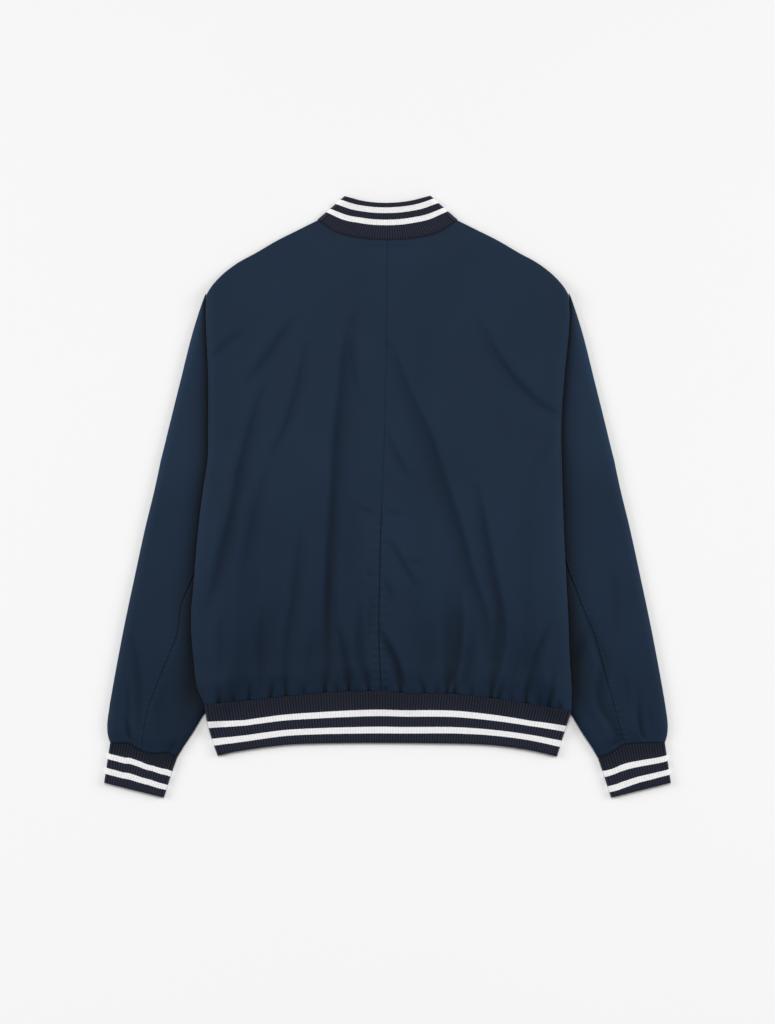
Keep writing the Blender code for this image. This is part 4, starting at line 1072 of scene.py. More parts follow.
@dataclass
class BackPanel(BodyPanel):
    """One back panel, lofted over the fronts, with long folds and gathers at the hem."""

    loft: Slope = Slope(3.4, 0, 34)
    neck_room: Slope = Slope(1, 0, 40)
    fold_room: Slope = Slope(1, -9, 20)
    wave_room: Slope = Slope(1, 0, 30)
    flush: Slope = Slope(1, 15, -15)
    softness: float = 0.8
    pitch: float = 2.05
    gather_width: float = 4.2
    least_width: float = 0.55
    widening: float = 0.9
    spot: tuple[float, float] = (2.4, 9.0)
    deepest: tuple[float, float] = (2.4, 2.0)
    puff_start: Slope = Slope(1.5, 0, 7)
    puff_end: Slope = Slope(1, 53, -46)
    overhang: Slope = Slope(1.7, 0, 8)
    notch: float = 1.3
    hem_dip: float = 1.2
    tight: float = 24.0
    seam_room: float = 6.0
    seam_columns: tuple[float, ...] = (5.0, 3.4, 2.2, 1.2, 0.5, 0.0)
    row_pitches: tuple[float, float, float] = (72.0, 2.0, 3.5)
    neck_height: float = 7.0
    waves: tuple = ((0.060, 0.013, 0.3, 0.30), (-0.035, 0.028, 1.7, 0.26), (0.021, -0.046, 4.1, 0.22),
                    (0.090, 0.052, 2.6, 0.12))
    # Painted shade in the gathers' notches and in spots at the hem seam.
    gather_shade: float = 0.28
    spot_shade: float = 0.3
    # Painted highlight on the puffs: its size, then where it peaks above the seam and its width.
    puff_gain: float = 0.16
    puff_light: tuple[float, float] = (3.5, 3.0)
    hem_line: Bell = Bell(1, 1.6)
    # Painted shade along the hem seam.
    hem_shade: float = 0.20
    # Painted shade, darker towards the hem and on the lower left half.
    low_shades: tuple[Slope, Slope] = (Slope(0.13, -60, -160), Slope(0.08, -100, -140))
    left_shade: Slope = Slope(0.10, 30, -110)
    left_part: Slope = Slope(1, -10, -40)
    left_fade: Slope = Slope(0.5, -130, -50)
    # Painted highlights on the lower sides and along the side edge, and painted shade along the neck seam.
    side_gain: Slope = Slope(0.16, 205, 35)
    side_part: Slope = Slope(1, 40, -90)
    edge_gains: tuple[Bell, Bell] = (Bell(0.20, 7), Bell(0.35, 1.8))
    neck_shade: Bell = Bell(0.35, 1.6)
    stitched: Slope = Slope(1, -4, -30)
    pucker: Pucker = Pucker(11.0, 1.3, 17.0)
    ruck: Bell = Bell(1, 4, 5)
    # Painted highlight on the puckers of the centre seam.
    ruck_light: float = 0.14
    ruck_depth: float = 0.3
    # Painted shade along the centre seam: plain, and more where topstitched.
    valley_shade: tuple[float, float] = (0.13, 0.25)
    valley_depth: tuple[float, float] = (0.45, 0.75)
    valley_width: float = 1.7

    def gathered(self, x: Grid, above: Grid) -> tuple[Grid, Grid]:
        """Give the gathers: puffs just above the seam, cut by narrow leaning notches in painted shade.

        A notch is a bell across that widens upwards and fades over its length, and it ends in a darker
        spot of painted shade at the seam. The puffs get a painted highlight between the notches.

        Args:
            x: Places across.
            above: How far above the hem seam.

        Returns:
            The height and the painted light and shade.
        """
        notches, spots = np.zeros_like(x), np.zeros_like(x)
        for place, length, depth, lean in HEM_GATHERS:
            wider = self.widening * np.clip(above / length, 0.0, 1.0)
            offset = (x - place + lean * -above) / (self.gather_width * (self.least_width + wider))
            notches += depth * smooth_step(1.0 - above / length) * np.exp(-offset ** 2)
            spots += depth * np.exp(-((x - place) / self.spot[0]) ** 2 - (above / self.spot[1]) ** 2)
        puff = self.puff_start(above) * self.puff_end(above)
        into_seam = self.hem_line(above)
        # Painted shade in the notches, along the seam and in the spots, and a painted highlight on the puffs.
        light = 1.0 - self.gather_shade * np.clip(notches, 0.0, self.deepest[0])
        light = light * (1.0 - self.hem_shade * into_seam)
        light *= 1.0 - self.spot_shade * np.clip(spots, 0.0, self.deepest[1])
        light *= 1.0 + self.puff_gain * np.exp(-((above - self.puff_light[0]) / self.puff_light[1]) ** 2
                                               - notches ** 2)
        return puff - self.notch * notches - self.hem_dip * into_seam, light

    def scallops(self, x: Grid, above: Grid, share: Grid) -> Grid:
        """Give how far the puffs between the gathers hang down over the seam, less towards the side."""
        places = np.array([row[0] for row in HEM_GATHERS if row[1] > self.tight])
        nearest = np.abs(x[..., None] - places).min(axis=-1)
        return self.overhang(nearest) * bell(above, self.puff_start.length) * smooth_step(share)

    def face(self, x: Grid, y: Grid) -> tuple[Grid, Grid]:
        """Give the panel's upper face and the light and shade painted on it.

        The height is that of a panel lying close, plus a soft floor under the loft, the folds and the
        gathers. It comes down to the collar band at the neck.

        Args:
            x: Places across.
            y: Places up.

        Returns:
            The height, and the painted light and shade, 1 where the cloth is plain.
        """
        drape = self.drape
        above, below = drape.above_hem(x, y), drape.below_neck(x, y)
        folds, light = creased(BACK_CREASES, x, y)
        gathers, gather_light = self.gathered(x, above)
        lift = self.loft(above) * self.neck_room(below) + folds * self.fold_room(above)
        lift = lift + gathers + swells(self.waves, x, y) * self.wave_room(above)
        z = drape.lying(x, y) + (lift + np.hypot(lift, self.softness)) / 2
        valley, seam_light = self.centre_valley(x, y)
        # Painted shade towards the hem and on the lower left, painted highlights on the lower sides and side
        # edge.
        low = 1.0 - self.low_shades[0](y) - self.low_shades[1](y)
        low = low - self.left_shade(y) * (self.left_part(x) * (1.0 - self.left_fade(y)))
        low = low * (1.0 + self.side_gain(np.abs(x)) * self.side_part(y))
        rim = np.clip(across(SIDE_LINE[self.side], y) - np.abs(x), 0.0, None)
        low = low * (1.0 + self.edge_gains[0](rim) + self.edge_gains[1](rim))
        light = light * gather_light * seam_light * low * (1.0 - self.neck_shade(below))
        return z + (self.neck_height - z) * self.flush(below) - valley, light

    def top(self, x: Grid, y: Grid) -> Grid:
        """Give the height of the panel's upper face."""
        return self.face(x, y)[0]

    def centre_valley(self, x: Grid, y: Grid) -> tuple[Grid, Grid]:
        """Give the dip along the centre seam, a bell across it, puckered where it is topstitched.

        Args:
            x: Places across.
            y: Places up.

        Returns:
            The depth and the painted light and shade.
        """
        seam = traced(CENTRE_SEAM)
        apart = np.abs(x - np.interp(y, seam[:, 1], seam[:, 0]))
        stitched = self.stitched(y)
        ruck = self.pucker(y) * self.ruck(apart) * stitched
        plain, more = self.valley_shade
        light = 1.0 - (plain + more * stitched) * bell(apart, 1.0) + self.ruck_light * ruck
        plain, more = self.valley_depth
        return (plain + more * stitched) * bell(apart, self.valley_width) + self.ruck_depth * ruck, light

    def heights(self, x: Grid, y: Grid, depth: float) -> tuple[Grid, Grid]:
        """Give the height of the seam at the side and shoulder, and that of the panel's upper face."""
        return self.drape.rim(y) + SEAM / 2, self.top(x, y) - depth

    def build(self) -> Piece:
        """Lay the panel out, with the puffs hanging over the hem seam, and close its wall."""
        shift = self.side.value * BUTTED / 2
        hem_corner, *centre_rows, neck_corner = [(x + shift, y) for x, y in CENTRE_SEAM]
        span = self.span(BACK_NECK, (hem_corner[0], neck_corner[0]), centre_rows, 0.0, SEAM)
        width, height = self.nominal
        plain = np.arange(self.roll + self.pitch, width - self.seam_room, self.pitch)
        columns = np.concatenate([plain, width - np.array(self.seam_columns)])
        near_hem, fine, coarse = self.row_pitches
        rows = np.append(np.arange(0.0, near_hem, fine), np.arange(near_hem, height - self.roll, coarse))
        plan, share, inwards = self.lay_out(span, columns, rows)
        plan[..., 1] -= self.scallops(plan[..., 0], self.drape.above_hem(plan[..., 0], plan[..., 1]), share)
        light = self.face(plan[..., 0], plan[..., 1])[1]
        return self.close("back_panel", (plan, share, inwards), light)


@dataclass
class FrontPanel(BodyPanel):
    """One front panel, flat on the floor, with shallow creases that lift it off the floor."""

    ceiling: Height = field(kw_only=True)
    pitch: float = 5.0
    clear: float = 0.5
    flat_from: float = -20.0
    tuck: float = 2.6
    laps: dict = field(default_factory=lambda: {LEFT: 12.0, RIGHT: -12.0})

    def lifted(self, x: Grid, y: Grid) -> Grid:
        """Give the creases' lift off the floor, held under the back panel, and flat beside the lap."""
        room = self.ceiling(x, y) - 2 * CLOTH - self.drape.under_body(x, y, self.side) - self.clear
        if self.side is LEFT:
            room = np.minimum(room, np.where(x > self.flat_from, 0.0, room))
        return np.clip(np.minimum(-creased(FRONT_CREASES, x, y)[0], room), 0.0, None)

    def heights(self, x: Grid, y: Grid, depth: float) -> tuple[Grid, Grid]:
        """Give the height of the front's outer edge, and that of its face towards the back panel."""
        under = self.drape.under_body(x, y, self.side) + self.lifted(x, y)
        return self.drape.front_rim(y) - SEAM / 2, under + depth

    def build(self) -> Piece:
        """Lay the panel out and close its wall."""
        lap = self.laps[self.side]
        span = self.span(FRONT_NECK, (lap, lap), [(lap, 0.0)], self.tuck, FRONT_SEAM)
        width, height = self.nominal
        columns = np.append(np.arange(self.roll + 3.0, width, self.pitch), width)
        rows = np.arange(0.0, height - self.roll, self.pitch)
        laid = self.lay_out(span, columns, rows)
        return self.close("front_panel", laid, creased(FRONT_CREASES, laid[0][..., 0], laid[0][..., 1])[1])


# ---------------------------------------------------------------- flattened tubes


@dataclass(frozen=True)
class Lines:
    """Lines along a flattened tube: their half, share of the flat, bend, and the edge they turn round."""

    on_top: Grid
    share: Grid
    bend: Grid
    edge: Grid

    def __add__(self, more: Lines) -> Lines:
        """Put more lines after these."""
        pairs = zip(vars(self).values(), vars(more).values())
        return Lines(*(np.append(mine, other) for mine, other in pairs))


def turned(edge: int, upwards: bool, steps: int) -> Lines:
    """Give the lines round one folded edge, without the flat ends, at equal steps of bend."""
    bends = np.linspace(-90, 90, steps + 1)[1:-1] * (1 if upwards else -1)
    edges = np.full(steps - 1, edge)
    return Lines(bends > -LEVEL, edges, np.radians(bends), edges)


def flats(half: Half, start: float, end: float, count: int) -> Lines:
    """Give the lines along a flat half, both ends included."""
    on_top = np.full(count, half is Half.UPPER)
    bend = np.radians(np.where(on_top, 90.0, -90.0))
    return Lines(on_top, np.linspace(start, end, count), bend, np.zeros(count))


@dataclass
class FlatTube:
    """A tube laid flat on a plan for each half, between a lower and an upper height."""

    upper: Plan
    lower: Plan
    floor: Height
    top: Height
    turn: float | Grid
    most_turn: float = 0.46
    most_inward: float = 0.8
    least_half: float = 0.1

    def skin(self, lines: Lines, shares: Grid, depth: float, relief: Grid | float = 0.0,
             limits: tuple[Grid, Grid] | None = None) -> Grid:
        """Place one skin of the tube, depth inside its outer face.

        Across the flats the places go evenly between the limits. Round an edge the inset is the turn's
        reach times 1 - cos(bend), and everywhere the height is the middle plus sin(bend) times half the
        tube's height less the depth, plus the relief.

        Args:
            lines: Lines along the tube, one a column.
            shares: Shares along the tube, one a row.
            depth: Distance inside the outer face.
            relief: What is added to the heights.
            limits: Shares across where the flats start and end in each row; from turn to turn without them.

        Returns:
            Rows by columns by x, y, z.
        """
        bend = lines.bend
        ends = self.upper(np.zeros(len(shares)), shares) - self.upper(np.ones(len(shares)), shares)
        width = np.linalg.norm(ends, axis=-1)
        reach = np.minimum(self.turn, self.most_turn * width)
        start, end = (reach / width, 1 - reach / width) if limits is None else limits
        start = np.where(start < 0, reach / width, start)[:, None]
        end = np.where(end > 1, 1 - reach / width, end)[:, None]
        reach, width = reach[:, None], width[:, None]
        inward = np.minimum(depth, self.most_inward * reach)
        inset = inward + (reach - inward) * (1 - np.cos(bend))
        bent = np.abs(np.cos(bend)) > LEVEL
        u = start + lines.share * (end - start)
        u = np.where(bent & (lines.edge == 0), inset / width, u)
        u = np.where(bent & (lines.edge == 1), 1 - inset / width, u)
        along = np.repeat(shares[:, None], len(bend), axis=1)
        plan = np.where(lines.on_top[None, :, None], self.upper(u, along), self.lower(u, along))
        low, high = self.floor(plan[..., 0], plan[..., 1]), self.top(plan[..., 0], plan[..., 1])
        z = (low + high) / 2 + np.sin(bend) * np.maximum((high - low) / 2 - depth, self.least_half) + relief
        return np.dstack([plan, z])


@dataclass
class Sleeve:
    """One sleeve, a flattened tube cut in two pieces, with a topstitched back seam on its upper face."""

    side: Side
    drape: Drape
    material: Finish
    crown: float = 9.0
    ends: float = 6.8
    dip: float = 24.0
    cuff_room: Slope = Slope(1, -3.12, 26)
    fold_room: Slope = Slope(1, -2.4, 12)
    turn: float = 11.0
    row_pitch: float = 0.0055
    armpit_y: float = 40.0
    under_start: float = 0.045
    split_gap: float = 0.0006
    outer_lines: int = 38
    outer_turns: int = 12
    under_lines: int = 18
    under_turns: int = 9
    lower_lines: int = 8
    tucks: dict = field(default_factory=lambda: {Half.UPPER: 3.4, Half.LOWER: 2.0})
    tucked: Slope = Slope(1, 276, -44)
    under_tucks: tuple[Slope, Slope] = (Slope(1.8, 88, -30), Slope(13, 57, -18))
    shoulder_gap: Slope = Slope(0.3, 225, 20)
    cuff_sag: Slope = Slope(1, 0.93, 0.07)
    shoulder_drop: Slope = Slope(1.3, 244, 26)
    armhole: Slope = Slope(1, ARMHOLE_TOP, -20)
    tip_start: float = 264.0
    tip_length: float = 9.3
    least_tip: float = 0.02
    waves: tuple = ((0.02, 0.031, 1.1, 0.35), (-0.05, 0.067, 0.0, 0.2))
    least_fold: float = -1.8
    most_fold: float = 2.6
    stitched: Slope = Slope(1, 10, -20)
    pucker: Pucker = Pucker(7.5, 1.0, 13.0)
    ruck: Bell = Bell(1, 4, 4.5)
    seam_dip: Bell = Bell(0.55, 1.8)
    # Painted shade along the back seam, and a painted highlight on its puckers.
    seam_shade: Bell = Bell(0.06, 0.9)
    ruck_height: float = 0.4
    ruck_light: float = 0.18
    # Painted shadow that the body casts on the sleeve, with a dark line at the body's edge.
    body_shadow: float = 0.72
    shadow_power: float = 1.3
    least_shadow: float = 4.0
    shadow_width: Slope = Slope(10, ARMHOLE_TOP, -120)
    shadow_end: Slope = Slope(1, -300, 60)
    body_line: Bell = Bell(0.7, 3)
    # Painted light on the upper sleeve away from the body.
    high_gain: Slope = Slope(0.19, -10, 90)
    high_start: float = 7.0
    # Painted shade on the lower inner sleeve.
    inner_shade: Slope = Slope(0.07, -90, -50)
    inner_part: Slope = Slope(1, 60, 40)
    # Painted highlight along the outer edge, and painted shade towards the cuff.
    rim_gain: Bell = Bell(0.5, 6.5)
    low_shade: Slope = Slope(0.12, -150, -110)
    low_power: float = 1.5

    def plan(self, half: Half) -> Plan:
        """Span the sleeve from its outer edge to its inner one, which is the armhole down to the armpit.

        Args:
            half: The half of the laid sleeve, which sets how far it is tucked under the body.

        Returns:
            The plan.
        """
        rows = np.array(SLEEVE, float)
        armhole = rows[rows[:, 3] >= self.armpit_y]
        y = armhole[:, 3]
        inward = self.tucks[half] * self.tucked(y)
        inward += self.under_tucks[0](y) + self.under_tucks[1](y)
        outward = SEAM + self.shoulder_gap(y)
        rows[:len(armhole), 2] = across(SIDE_LINE[self.side], y) + outward - inward
        sign = self.side.value
        straight = ruled(curve([(sign * out, y) for out, y in rows[:, :2]]),
                         curve([(sign * out, y) for out, y in rows[:, 2:]]))
        return sagged(straight, self.side, self.cuff_sag)

    def face(self, x: Grid, y: Grid) -> tuple[Grid, Grid]:
        """Give the upper face and the light and shade painted on it.

        The height is the crown, lower at the cuff and at the armhole, with the folds, slow swells and the
        puckered dip of the back seam. A painted shadow darkens the cloth where the body lies over it.

        Args:
            x: Places across.
            y: Places up.

        Returns:
            The height, and the painted light and shade, 1 where the cloth is plain.
        """
        out = np.abs(x)
        above = y - cuff_line(self.side, x)
        crown = self.ends + (self.crown - self.ends) * self.cuff_room(above) - self.shoulder_drop(y)
        body = across(SIDE_LINE[self.side], y)
        at_armhole = smooth_step(1.0 - (out - body) / self.dip) * (1 - self.drape.beside_armpit(y))
        folds, light = creased(SLEEVE_CREASES[self.side], x, y)
        folds = folds * self.fold_room(above)
        seam = traced(mirrored(BACK_SEAM[self.side], self.side))
        apart = np.abs(x - np.interp(-y, -seam[:, 1], seam[:, 0]))
        stitched = self.stitched(y)
        ruck = self.pucker(y) * self.ruck(apart)
        valley = (self.seam_dip(apart) + self.ruck_height * ruck) * stitched
        z = crown + (self.ends - crown) * at_armhole * self.armhole(y)
        creasing = np.clip(folds + swells(self.waves, x, y), self.least_fold, self.most_fold)
        # Painted shadow beside the body, painted highlight on the outer edge, painted shade on the back seam
        # and towards the cuff.
        light = light * self.light_by_body(y, np.clip(out - body, 0.0, None))
        outer = np.array(SLEEVE, float)[:, :2]
        rim = np.clip(np.interp(-y, -outer[:, 1], outer[:, 0]) - out, 0.0, None)
        light = light * (1.0 + self.rim_gain(rim))
        light = light * (1.0 - stitched * (self.seam_shade(apart) - self.ruck_light * ruck))
        return (z + creasing - valley) * self.tip(y), light * (1.0 - self.low_shade(y))

    def light_by_body(self, y: Grid, past: Grid) -> Grid:
        """Give the painted light beside the body: a soft painted shadow with a dark line in it.

        Args:
            y: Places up.
            past: Distances out from the body's edge.

        Returns:
            The painted light, 1 where nothing is taken or added.
        """
        by_body = np.clip(past / (self.least_shadow + self.shadow_width(y)), 0.0, 3.0)
        soft = self.body_shadow * np.exp(-by_body ** self.shadow_power)
        shadow = 1.0 - (1.0 - soft) * (1.0 - self.body_line(past))
        light = 1.0 - shadow * self.shadow_end(y)
        depth, reach = (np.interp(-y, *np.array(LOW_SHADE[self.side])[:, [0, axis]].T) for axis in (1, 2))
        light = light * (1.0 - depth * np.exp(-(past / reach) ** self.low_power))
        # Painted light on the upper sleeve away from the body, and painted shade on its lower inner part.
        light = light * (1.0 + self.high_gain(y) * (1.0 - bell(past, self.high_start)))
        return light * (1.0 - self.inner_shade(y) * (1.0 - self.inner_part(past)))

    def tip(self, y: Grid) -> Grid:
        """Give the part of the height left near the shoulder, where the sleeve ends in a quarter round."""
        past = np.clip(y - self.tip_start, 0.0, None)
        return np.sqrt(np.clip(1.0 - (past / self.tip_length) ** 2, self.least_tip, 1.0))

    def top(self, x: Grid, y: Grid) -> Grid:
        """Give the height of the upper face."""
        return self.face(x, y)[0]

    def seam_shares(self, plan: Plan, shares: Grid) -> Grid:
        """Find where the back seam crosses each row.

        Args:
            plan: The sleeve's plan.
            shares: Shares along the sleeve, one a row.

        Returns:
            The share across at each row: 1 above the under piece, where there is no seam.
        """
        seam = traced(BACK_SEAM[self.side], 80)
        across_row = np.linspace(0, 1, 400)
        rows = plan(*np.meshgrid(across_row, shares))
        beyond = np.abs(rows[..., 0]) - np.interp(-rows[..., 1], -seam[:, 1], seam[:, 0])
        crossing = across_row[np.argmax(beyond < 0, axis=1)]
        reached = (beyond < 0).any(axis=1) & (shares >= self.split(plan))
        return np.where(reached, crossing, 1.0)

    def split(self, plan: Plan) -> float:
        """Find the share along the sleeve at which the under piece starts, a little below the armpit."""
        shares = np.linspace(0, 1, 300)
        edge = plan(np.ones(300), shares)[:, 1]
        return float(np.interp(-self.armpit_y, -edge, shares)) + self.under_start

    def build(self, part: Part) -> Piece:
        """Place both skins of one piece and close them into its wall.

        Args:
            part: The outer piece, or the under piece inside the back seam.

        Returns:
            The new piece.
        """
        upper, lower = self.plan(Half.UPPER), self.plan(Half.LOWER)
        split = self.split(upper)
        start = 0.0 if part is Part.OUTER else split
        stations = np.linspace(start, 1.0, int((1.0 - start) / self.row_pitch))
        if part is Part.OUTER:
            stations = np.unique(np.append(stations, [split - self.split_gap, split]))
        seam = self.seam_shares(upper, stations)
        ends = upper(np.zeros(len(stations)), stations) - upper(np.ones(len(stations)), stations)
        width = np.linalg.norm(ends, axis=-1)
        half_seam = BUTTED / 2 / width
        turn: float | Grid = self.turn
        if part is Part.OUTER:
            lines = (flats(Half.UPPER, 1.0, 0.0, self.outer_lines) + turned(0, False, self.outer_turns)
                     + flats(Half.LOWER, 0.0, 1.0, self.lower_lines))
            limits = (np.full_like(seam, FREE_START), seam - half_seam)
        else:
            lines = (flats(Half.UPPER, 0.0, 1.0, self.under_lines) + turned(1, False, self.under_turns)
                     + flats(Half.LOWER, 1.0, 0.0, self.lower_lines))
            limits = (seam + half_seam, np.full_like(seam, FREE_END))
            turn = np.minimum(self.turn, (1 - seam) * width / 2)
        tube = FlatTube(upper, lower, on_floor, self.top, turn)
        skins = [tube.skin(lines, stations, depth, limits=limits) for depth in (0.0, CLOTH)]
        girth = np.cumsum(np.linalg.norm(np.diff(skins[0], axis=1, prepend=skins[0][:, :1]), axis=-1), axis=1)
        if part is Part.OUTER:
            folded_edge = self.outer_lines + self.outer_turns // 2
            girth -= girth[:, folded_edge:folded_edge + 1]
        uv = np.dstack([girth, skins[0][..., 1]]) * MM
        light = np.where(lines.on_top, self.face(skins[0][..., 0], skins[0][..., 1])[1], 1.0)
        return shell(f"sleeve_{part.value}_piece_{self.side.word}", *skins, uv, self.material, light)


def on_floor(x: Grid, y: Grid) -> Grid:
    """Give the floor's height, 0."""
    return np.zeros_like(x)


@dataclass
class KnitBand:
    """A knit band laid flat, ribbed round, open where its two ends meet underneath."""

    name: str
    upper: Plan
    lower: Plan
    floor: Height
    top: Height
    stripes: dict[float, tuple[float, ...]]
    material: Finish
    ribs: int
    turn: float
    gap: float
    rows: int
    relief: float = 0.7
    rib_columns: int = 8
    turn_steps: int = 16
    turn_ribs: float = 2.0
    seam_dip: float = 1.1
    seam_width: float = 0.05
    roundness: float = 0.6
    flat_bend: float = 0.9

    def striped(self, plan: Plan) -> Plan:
        """Bend a plan so that each stripe's edge, a constant share, wanders along the band as it should.

        Between two edges the share down the band is blended evenly, as it is between the edges' places.

        Args:
            plan: The band's even plan.

        Returns:
            The bent plan.
        """
        places = np.array(sorted(self.stripes))
        table = np.array([self.stripes[place] for place in places])
        marks = np.array([0.0, *self.stripes[0.5], 1.0])

        def at(u: Grid, v: Grid) -> Grid:
            """Move each share to where its stripe lies at this place along.

            Args:
                u: Shares along the band.
                v: Shares down it.

            Returns:
                The places in the bent plan.
            """
            edges = [np.zeros_like(u), *(np.interp(u, places, column) for column in table.T), np.ones_like(u)]
            moved = np.select([v <= mark for mark in marks[1:]],
                              [low + (v - start) / (end - start) * (high - low) for start, end, low, high
                               in zip(marks, marks[1:], edges, edges[1:])], v)
            return plan(u, moved)

        return at

    def build(self) -> Piece:
        """Place both skins of the band and close them into its wall.

        A rib's height is relief times the root of a half sine across it. It stands up from the upper
        face, and on the underside its crests lie on the floor with the grooves above them.
        """
        count = self.ribs * self.rib_columns
        half = count // 2
        lines = (flats(Half.LOWER, 0.5 - self.gap, 0.0, half) + turned(0, True, self.turn_steps)
                 + flats(Half.UPPER, 0.0, 1.0, count + 1)
                 + turned(1, False, self.turn_steps) + flats(Half.LOWER, 1.0, 0.5 + self.gap, half))
        shares = np.unique(np.append(np.linspace(0, 1, self.rows), self.stripes[0.5]))
        on_top, tilt = lines.on_top, np.sin(lines.bend)
        round_turn = np.full(self.turn_steps, self.turn_ribs / self.turn_steps)
        along = np.full(half - 1, (0.5 - self.gap) * self.ribs / (half - 1))
        steps = [[0.0], along, round_turn, np.full(count, 1 / self.rib_columns), round_turn, along]
        phase = np.cumsum(np.concatenate(steps)) - along.sum()
        rib = np.abs(np.sin(np.pi * phase)) ** self.roundness
        at_seam = bell(shares[:, None], self.seam_width)
        relief = np.where(on_top, rib, 1 - rib) * self.relief * np.abs(tilt)
        relief = relief[None] - self.seam_dip * at_seam * on_top * (tilt > self.flat_bend)
        tube = FlatTube(self.striped(self.upper), self.striped(self.lower), self.floor, self.top, self.turn)
        uv = np.dstack(np.meshgrid(phase, shares))
        return shell(self.name, tube.skin(lines, shares, 0.0, relief), tube.skin(lines, shares, RIB), uv,
                     self.material)


@dataclass
class Topstitching:
    """A row of sewn stitches that lies on the cloth along a line."""

    name: str
    line: Grid
    height: Height
    material: Finish
    pitch: float = 3.4
    share: float = 0.78
    radius: float = 0.34
    rings: int = 6
    sides: int = 6
    end: float = 0.02
    taper: float = 0.25
    lift: float = 0.9
    sink: float = 0.35

    def build(self) -> Piece:
        """Place all the stitches and join them into one piece.

        Along a stitch the thread's middle follows the line just above the cloth and dips at both ends, and
        its radius is the full one times the fourth root of a half sine. Round it the points go in a circle.
        """
        knots = np.append(0.0, np.cumsum(np.linalg.norm(np.diff(self.line, axis=0), axis=1)))
        starts = np.arange(0.0, knots[-1] - self.pitch, self.pitch)
        along = np.linspace(self.end, 1 - self.end, self.rings)
        places = starts[:, None] + self.pitch * self.share * along
        x, y = (np.interp(places, knots, self.line[:, axis]) for axis in (0, 1))
        bow = np.sin(np.pi * along)
        z = self.height(x, y) + self.radius * (self.lift * bow - self.sink)
        middle = np.stack([x, y, z], axis=-1)
        way = middle[:, -1, :2] - middle[:, 0, :2]
        way /= np.linalg.norm(way, axis=1, keepdims=True)
        turn = np.linspace(0, 2 * np.pi, self.sides, endpoint=False)
        radius = (self.radius * bow ** self.taper)[None, :, None]
        beside = radius * np.cos(turn)
        points = np.stack([middle[..., None, 0] - way[:, None, None, 1] * beside,
                           middle[..., None, 1] + way[:, None, None, 0] * beside,
                           middle[..., None, 2] + radius * np.sin(turn)], axis=-1)
        count = len(starts)
        ring = np.arange(self.sides)
        cell = np.arange(self.rings - 1)[:, None] * self.sides
        onwards = np.roll(ring, -1)
        quads = np.stack([cell + ring, cell + self.sides + ring, cell + self.sides + onwards, cell + onwards],
                         axis=-1).reshape(-1, 4)
        base = np.arange(count)[:, None, None] * self.rings * self.sides
        faces = (quads + base).reshape(-1, 4).tolist()
        for cap in (ring, (ring + (self.rings - 1) * self.sides)[::-1]):
            faces += (cap + base[:, 0]).tolist()
        uv = np.stack([np.broadcast_to(along[None, :, None], points.shape[:3]),
                       np.broadcast_to(turn / (2 * np.pi), points.shape[:3])], axis=-1)
        return grid_piece(self.name, points.reshape(-1, 3), faces, uv.reshape(-1, 2), self.material)


# ---------------------------------------------------------------- making the jacket


@dataclass
class Studio:
    """Pale floor, soft lights and a camera straight above."""

    frame: tuple[int, int] = (775, 1024)
    scale: float = 1.34
    aim: tuple[float, float] = (0.0, -20.1)
    level: float = 8.0
    distance: float = 4.0
    sensor: float = 36.0
    world: float = 0.27
    half_floor: float = 6.0
    below: float = 0.0005
    grain: float = 0.06
    # Painted light on the floor: its colour runs from far to near, paler towards the camera's foot.
    middle: float = 0.47
    reach: float = 0.69
    floor_far: float = 0.860
    floor_near: float = 0.970
    lights: tuple = (("left", (-4.6, 1.2, 2.6), 2.4, 98.0), ("right", (4.6, 1.2, 2.6), 2.4, 98.0),
                     ("above", (0.0, 2.6, 7.4), 2.6, 295.0))

    def build(self) -> None:
        """Make the floor, the lights, the world and the camera."""
        self.floor()
        for name, place, size, power in self.lights:
            light = bpy.data.lights.new(f"softbox_{name}", "AREA")
            light.shape = "SQUARE"
            light.size = size
            light.energy = power
            lamp = placed(light.name, light)
            lamp.location = place
            lamp.rotation_euler = (-Vector(place)).to_track_quat("-Z", "Y").to_euler()
        world = bpy.data.worlds.new("studio")
        world.use_nodes = True
        inputs = world.node_tree.nodes["Background"].inputs
        inputs["Color"].default_value, inputs["Strength"].default_value = (1.0, 1.0, 1.0, 1.0), self.world
        bpy.context.scene.world = world
        bpy.context.scene.view_settings.view_transform = "Standard"
        self.camera()

    def floor(self) -> None:
        """Make the floor, a wide square just under the jacket, a little paler towards the camera's foot as
        painted light.
        """
        mesh = bpy.data.meshes.new("floor")
        corners = ((-1, -1), (1, -1), (1, 1), (-1, 1))
        mesh.from_pydata([(x * self.half_floor, y * self.half_floor, -self.below) for x, y in corners], [],
                         [(0, 1, 2, 3)])
        shader = Shader("floor", 0.9, specular=0.1)
        place = shader.place()
        grain = shader.noise(place, 4.0, 2.0)
        along = shader.node("ShaderNodeSeparateXYZ", {"Vector": place}).outputs["Y"]
        # Painted light: paler towards the camera's foot, evening out the lamps' falloff there.
        mixed = shader.linear(grain, self.grain, shader.linear(along, -self.middle / self.reach, self.middle))
        shader.paint(shader.colour(mixed, [(0.0, (self.floor_far,) * 3), (1.0, (self.floor_near,) * 3)]))
        mesh.materials.append(shader.material)
        floor = placed("floor", mesh)

    def camera(self) -> None:
        """Make the camera: its lens takes in the frame's height at the jacket's level."""
        data = bpy.data.cameras.new("camera")
        data.sensor_width = self.sensor
        data.lens = self.sensor * (self.distance / MM - self.level) / (self.frame[1] * self.scale)
        data.clip_end = 50.0
        camera = placed("camera", data)
        camera.location = (self.aim[0] * MM, self.aim[1] * MM, self.distance)
        bpy.context.scene.camera = camera


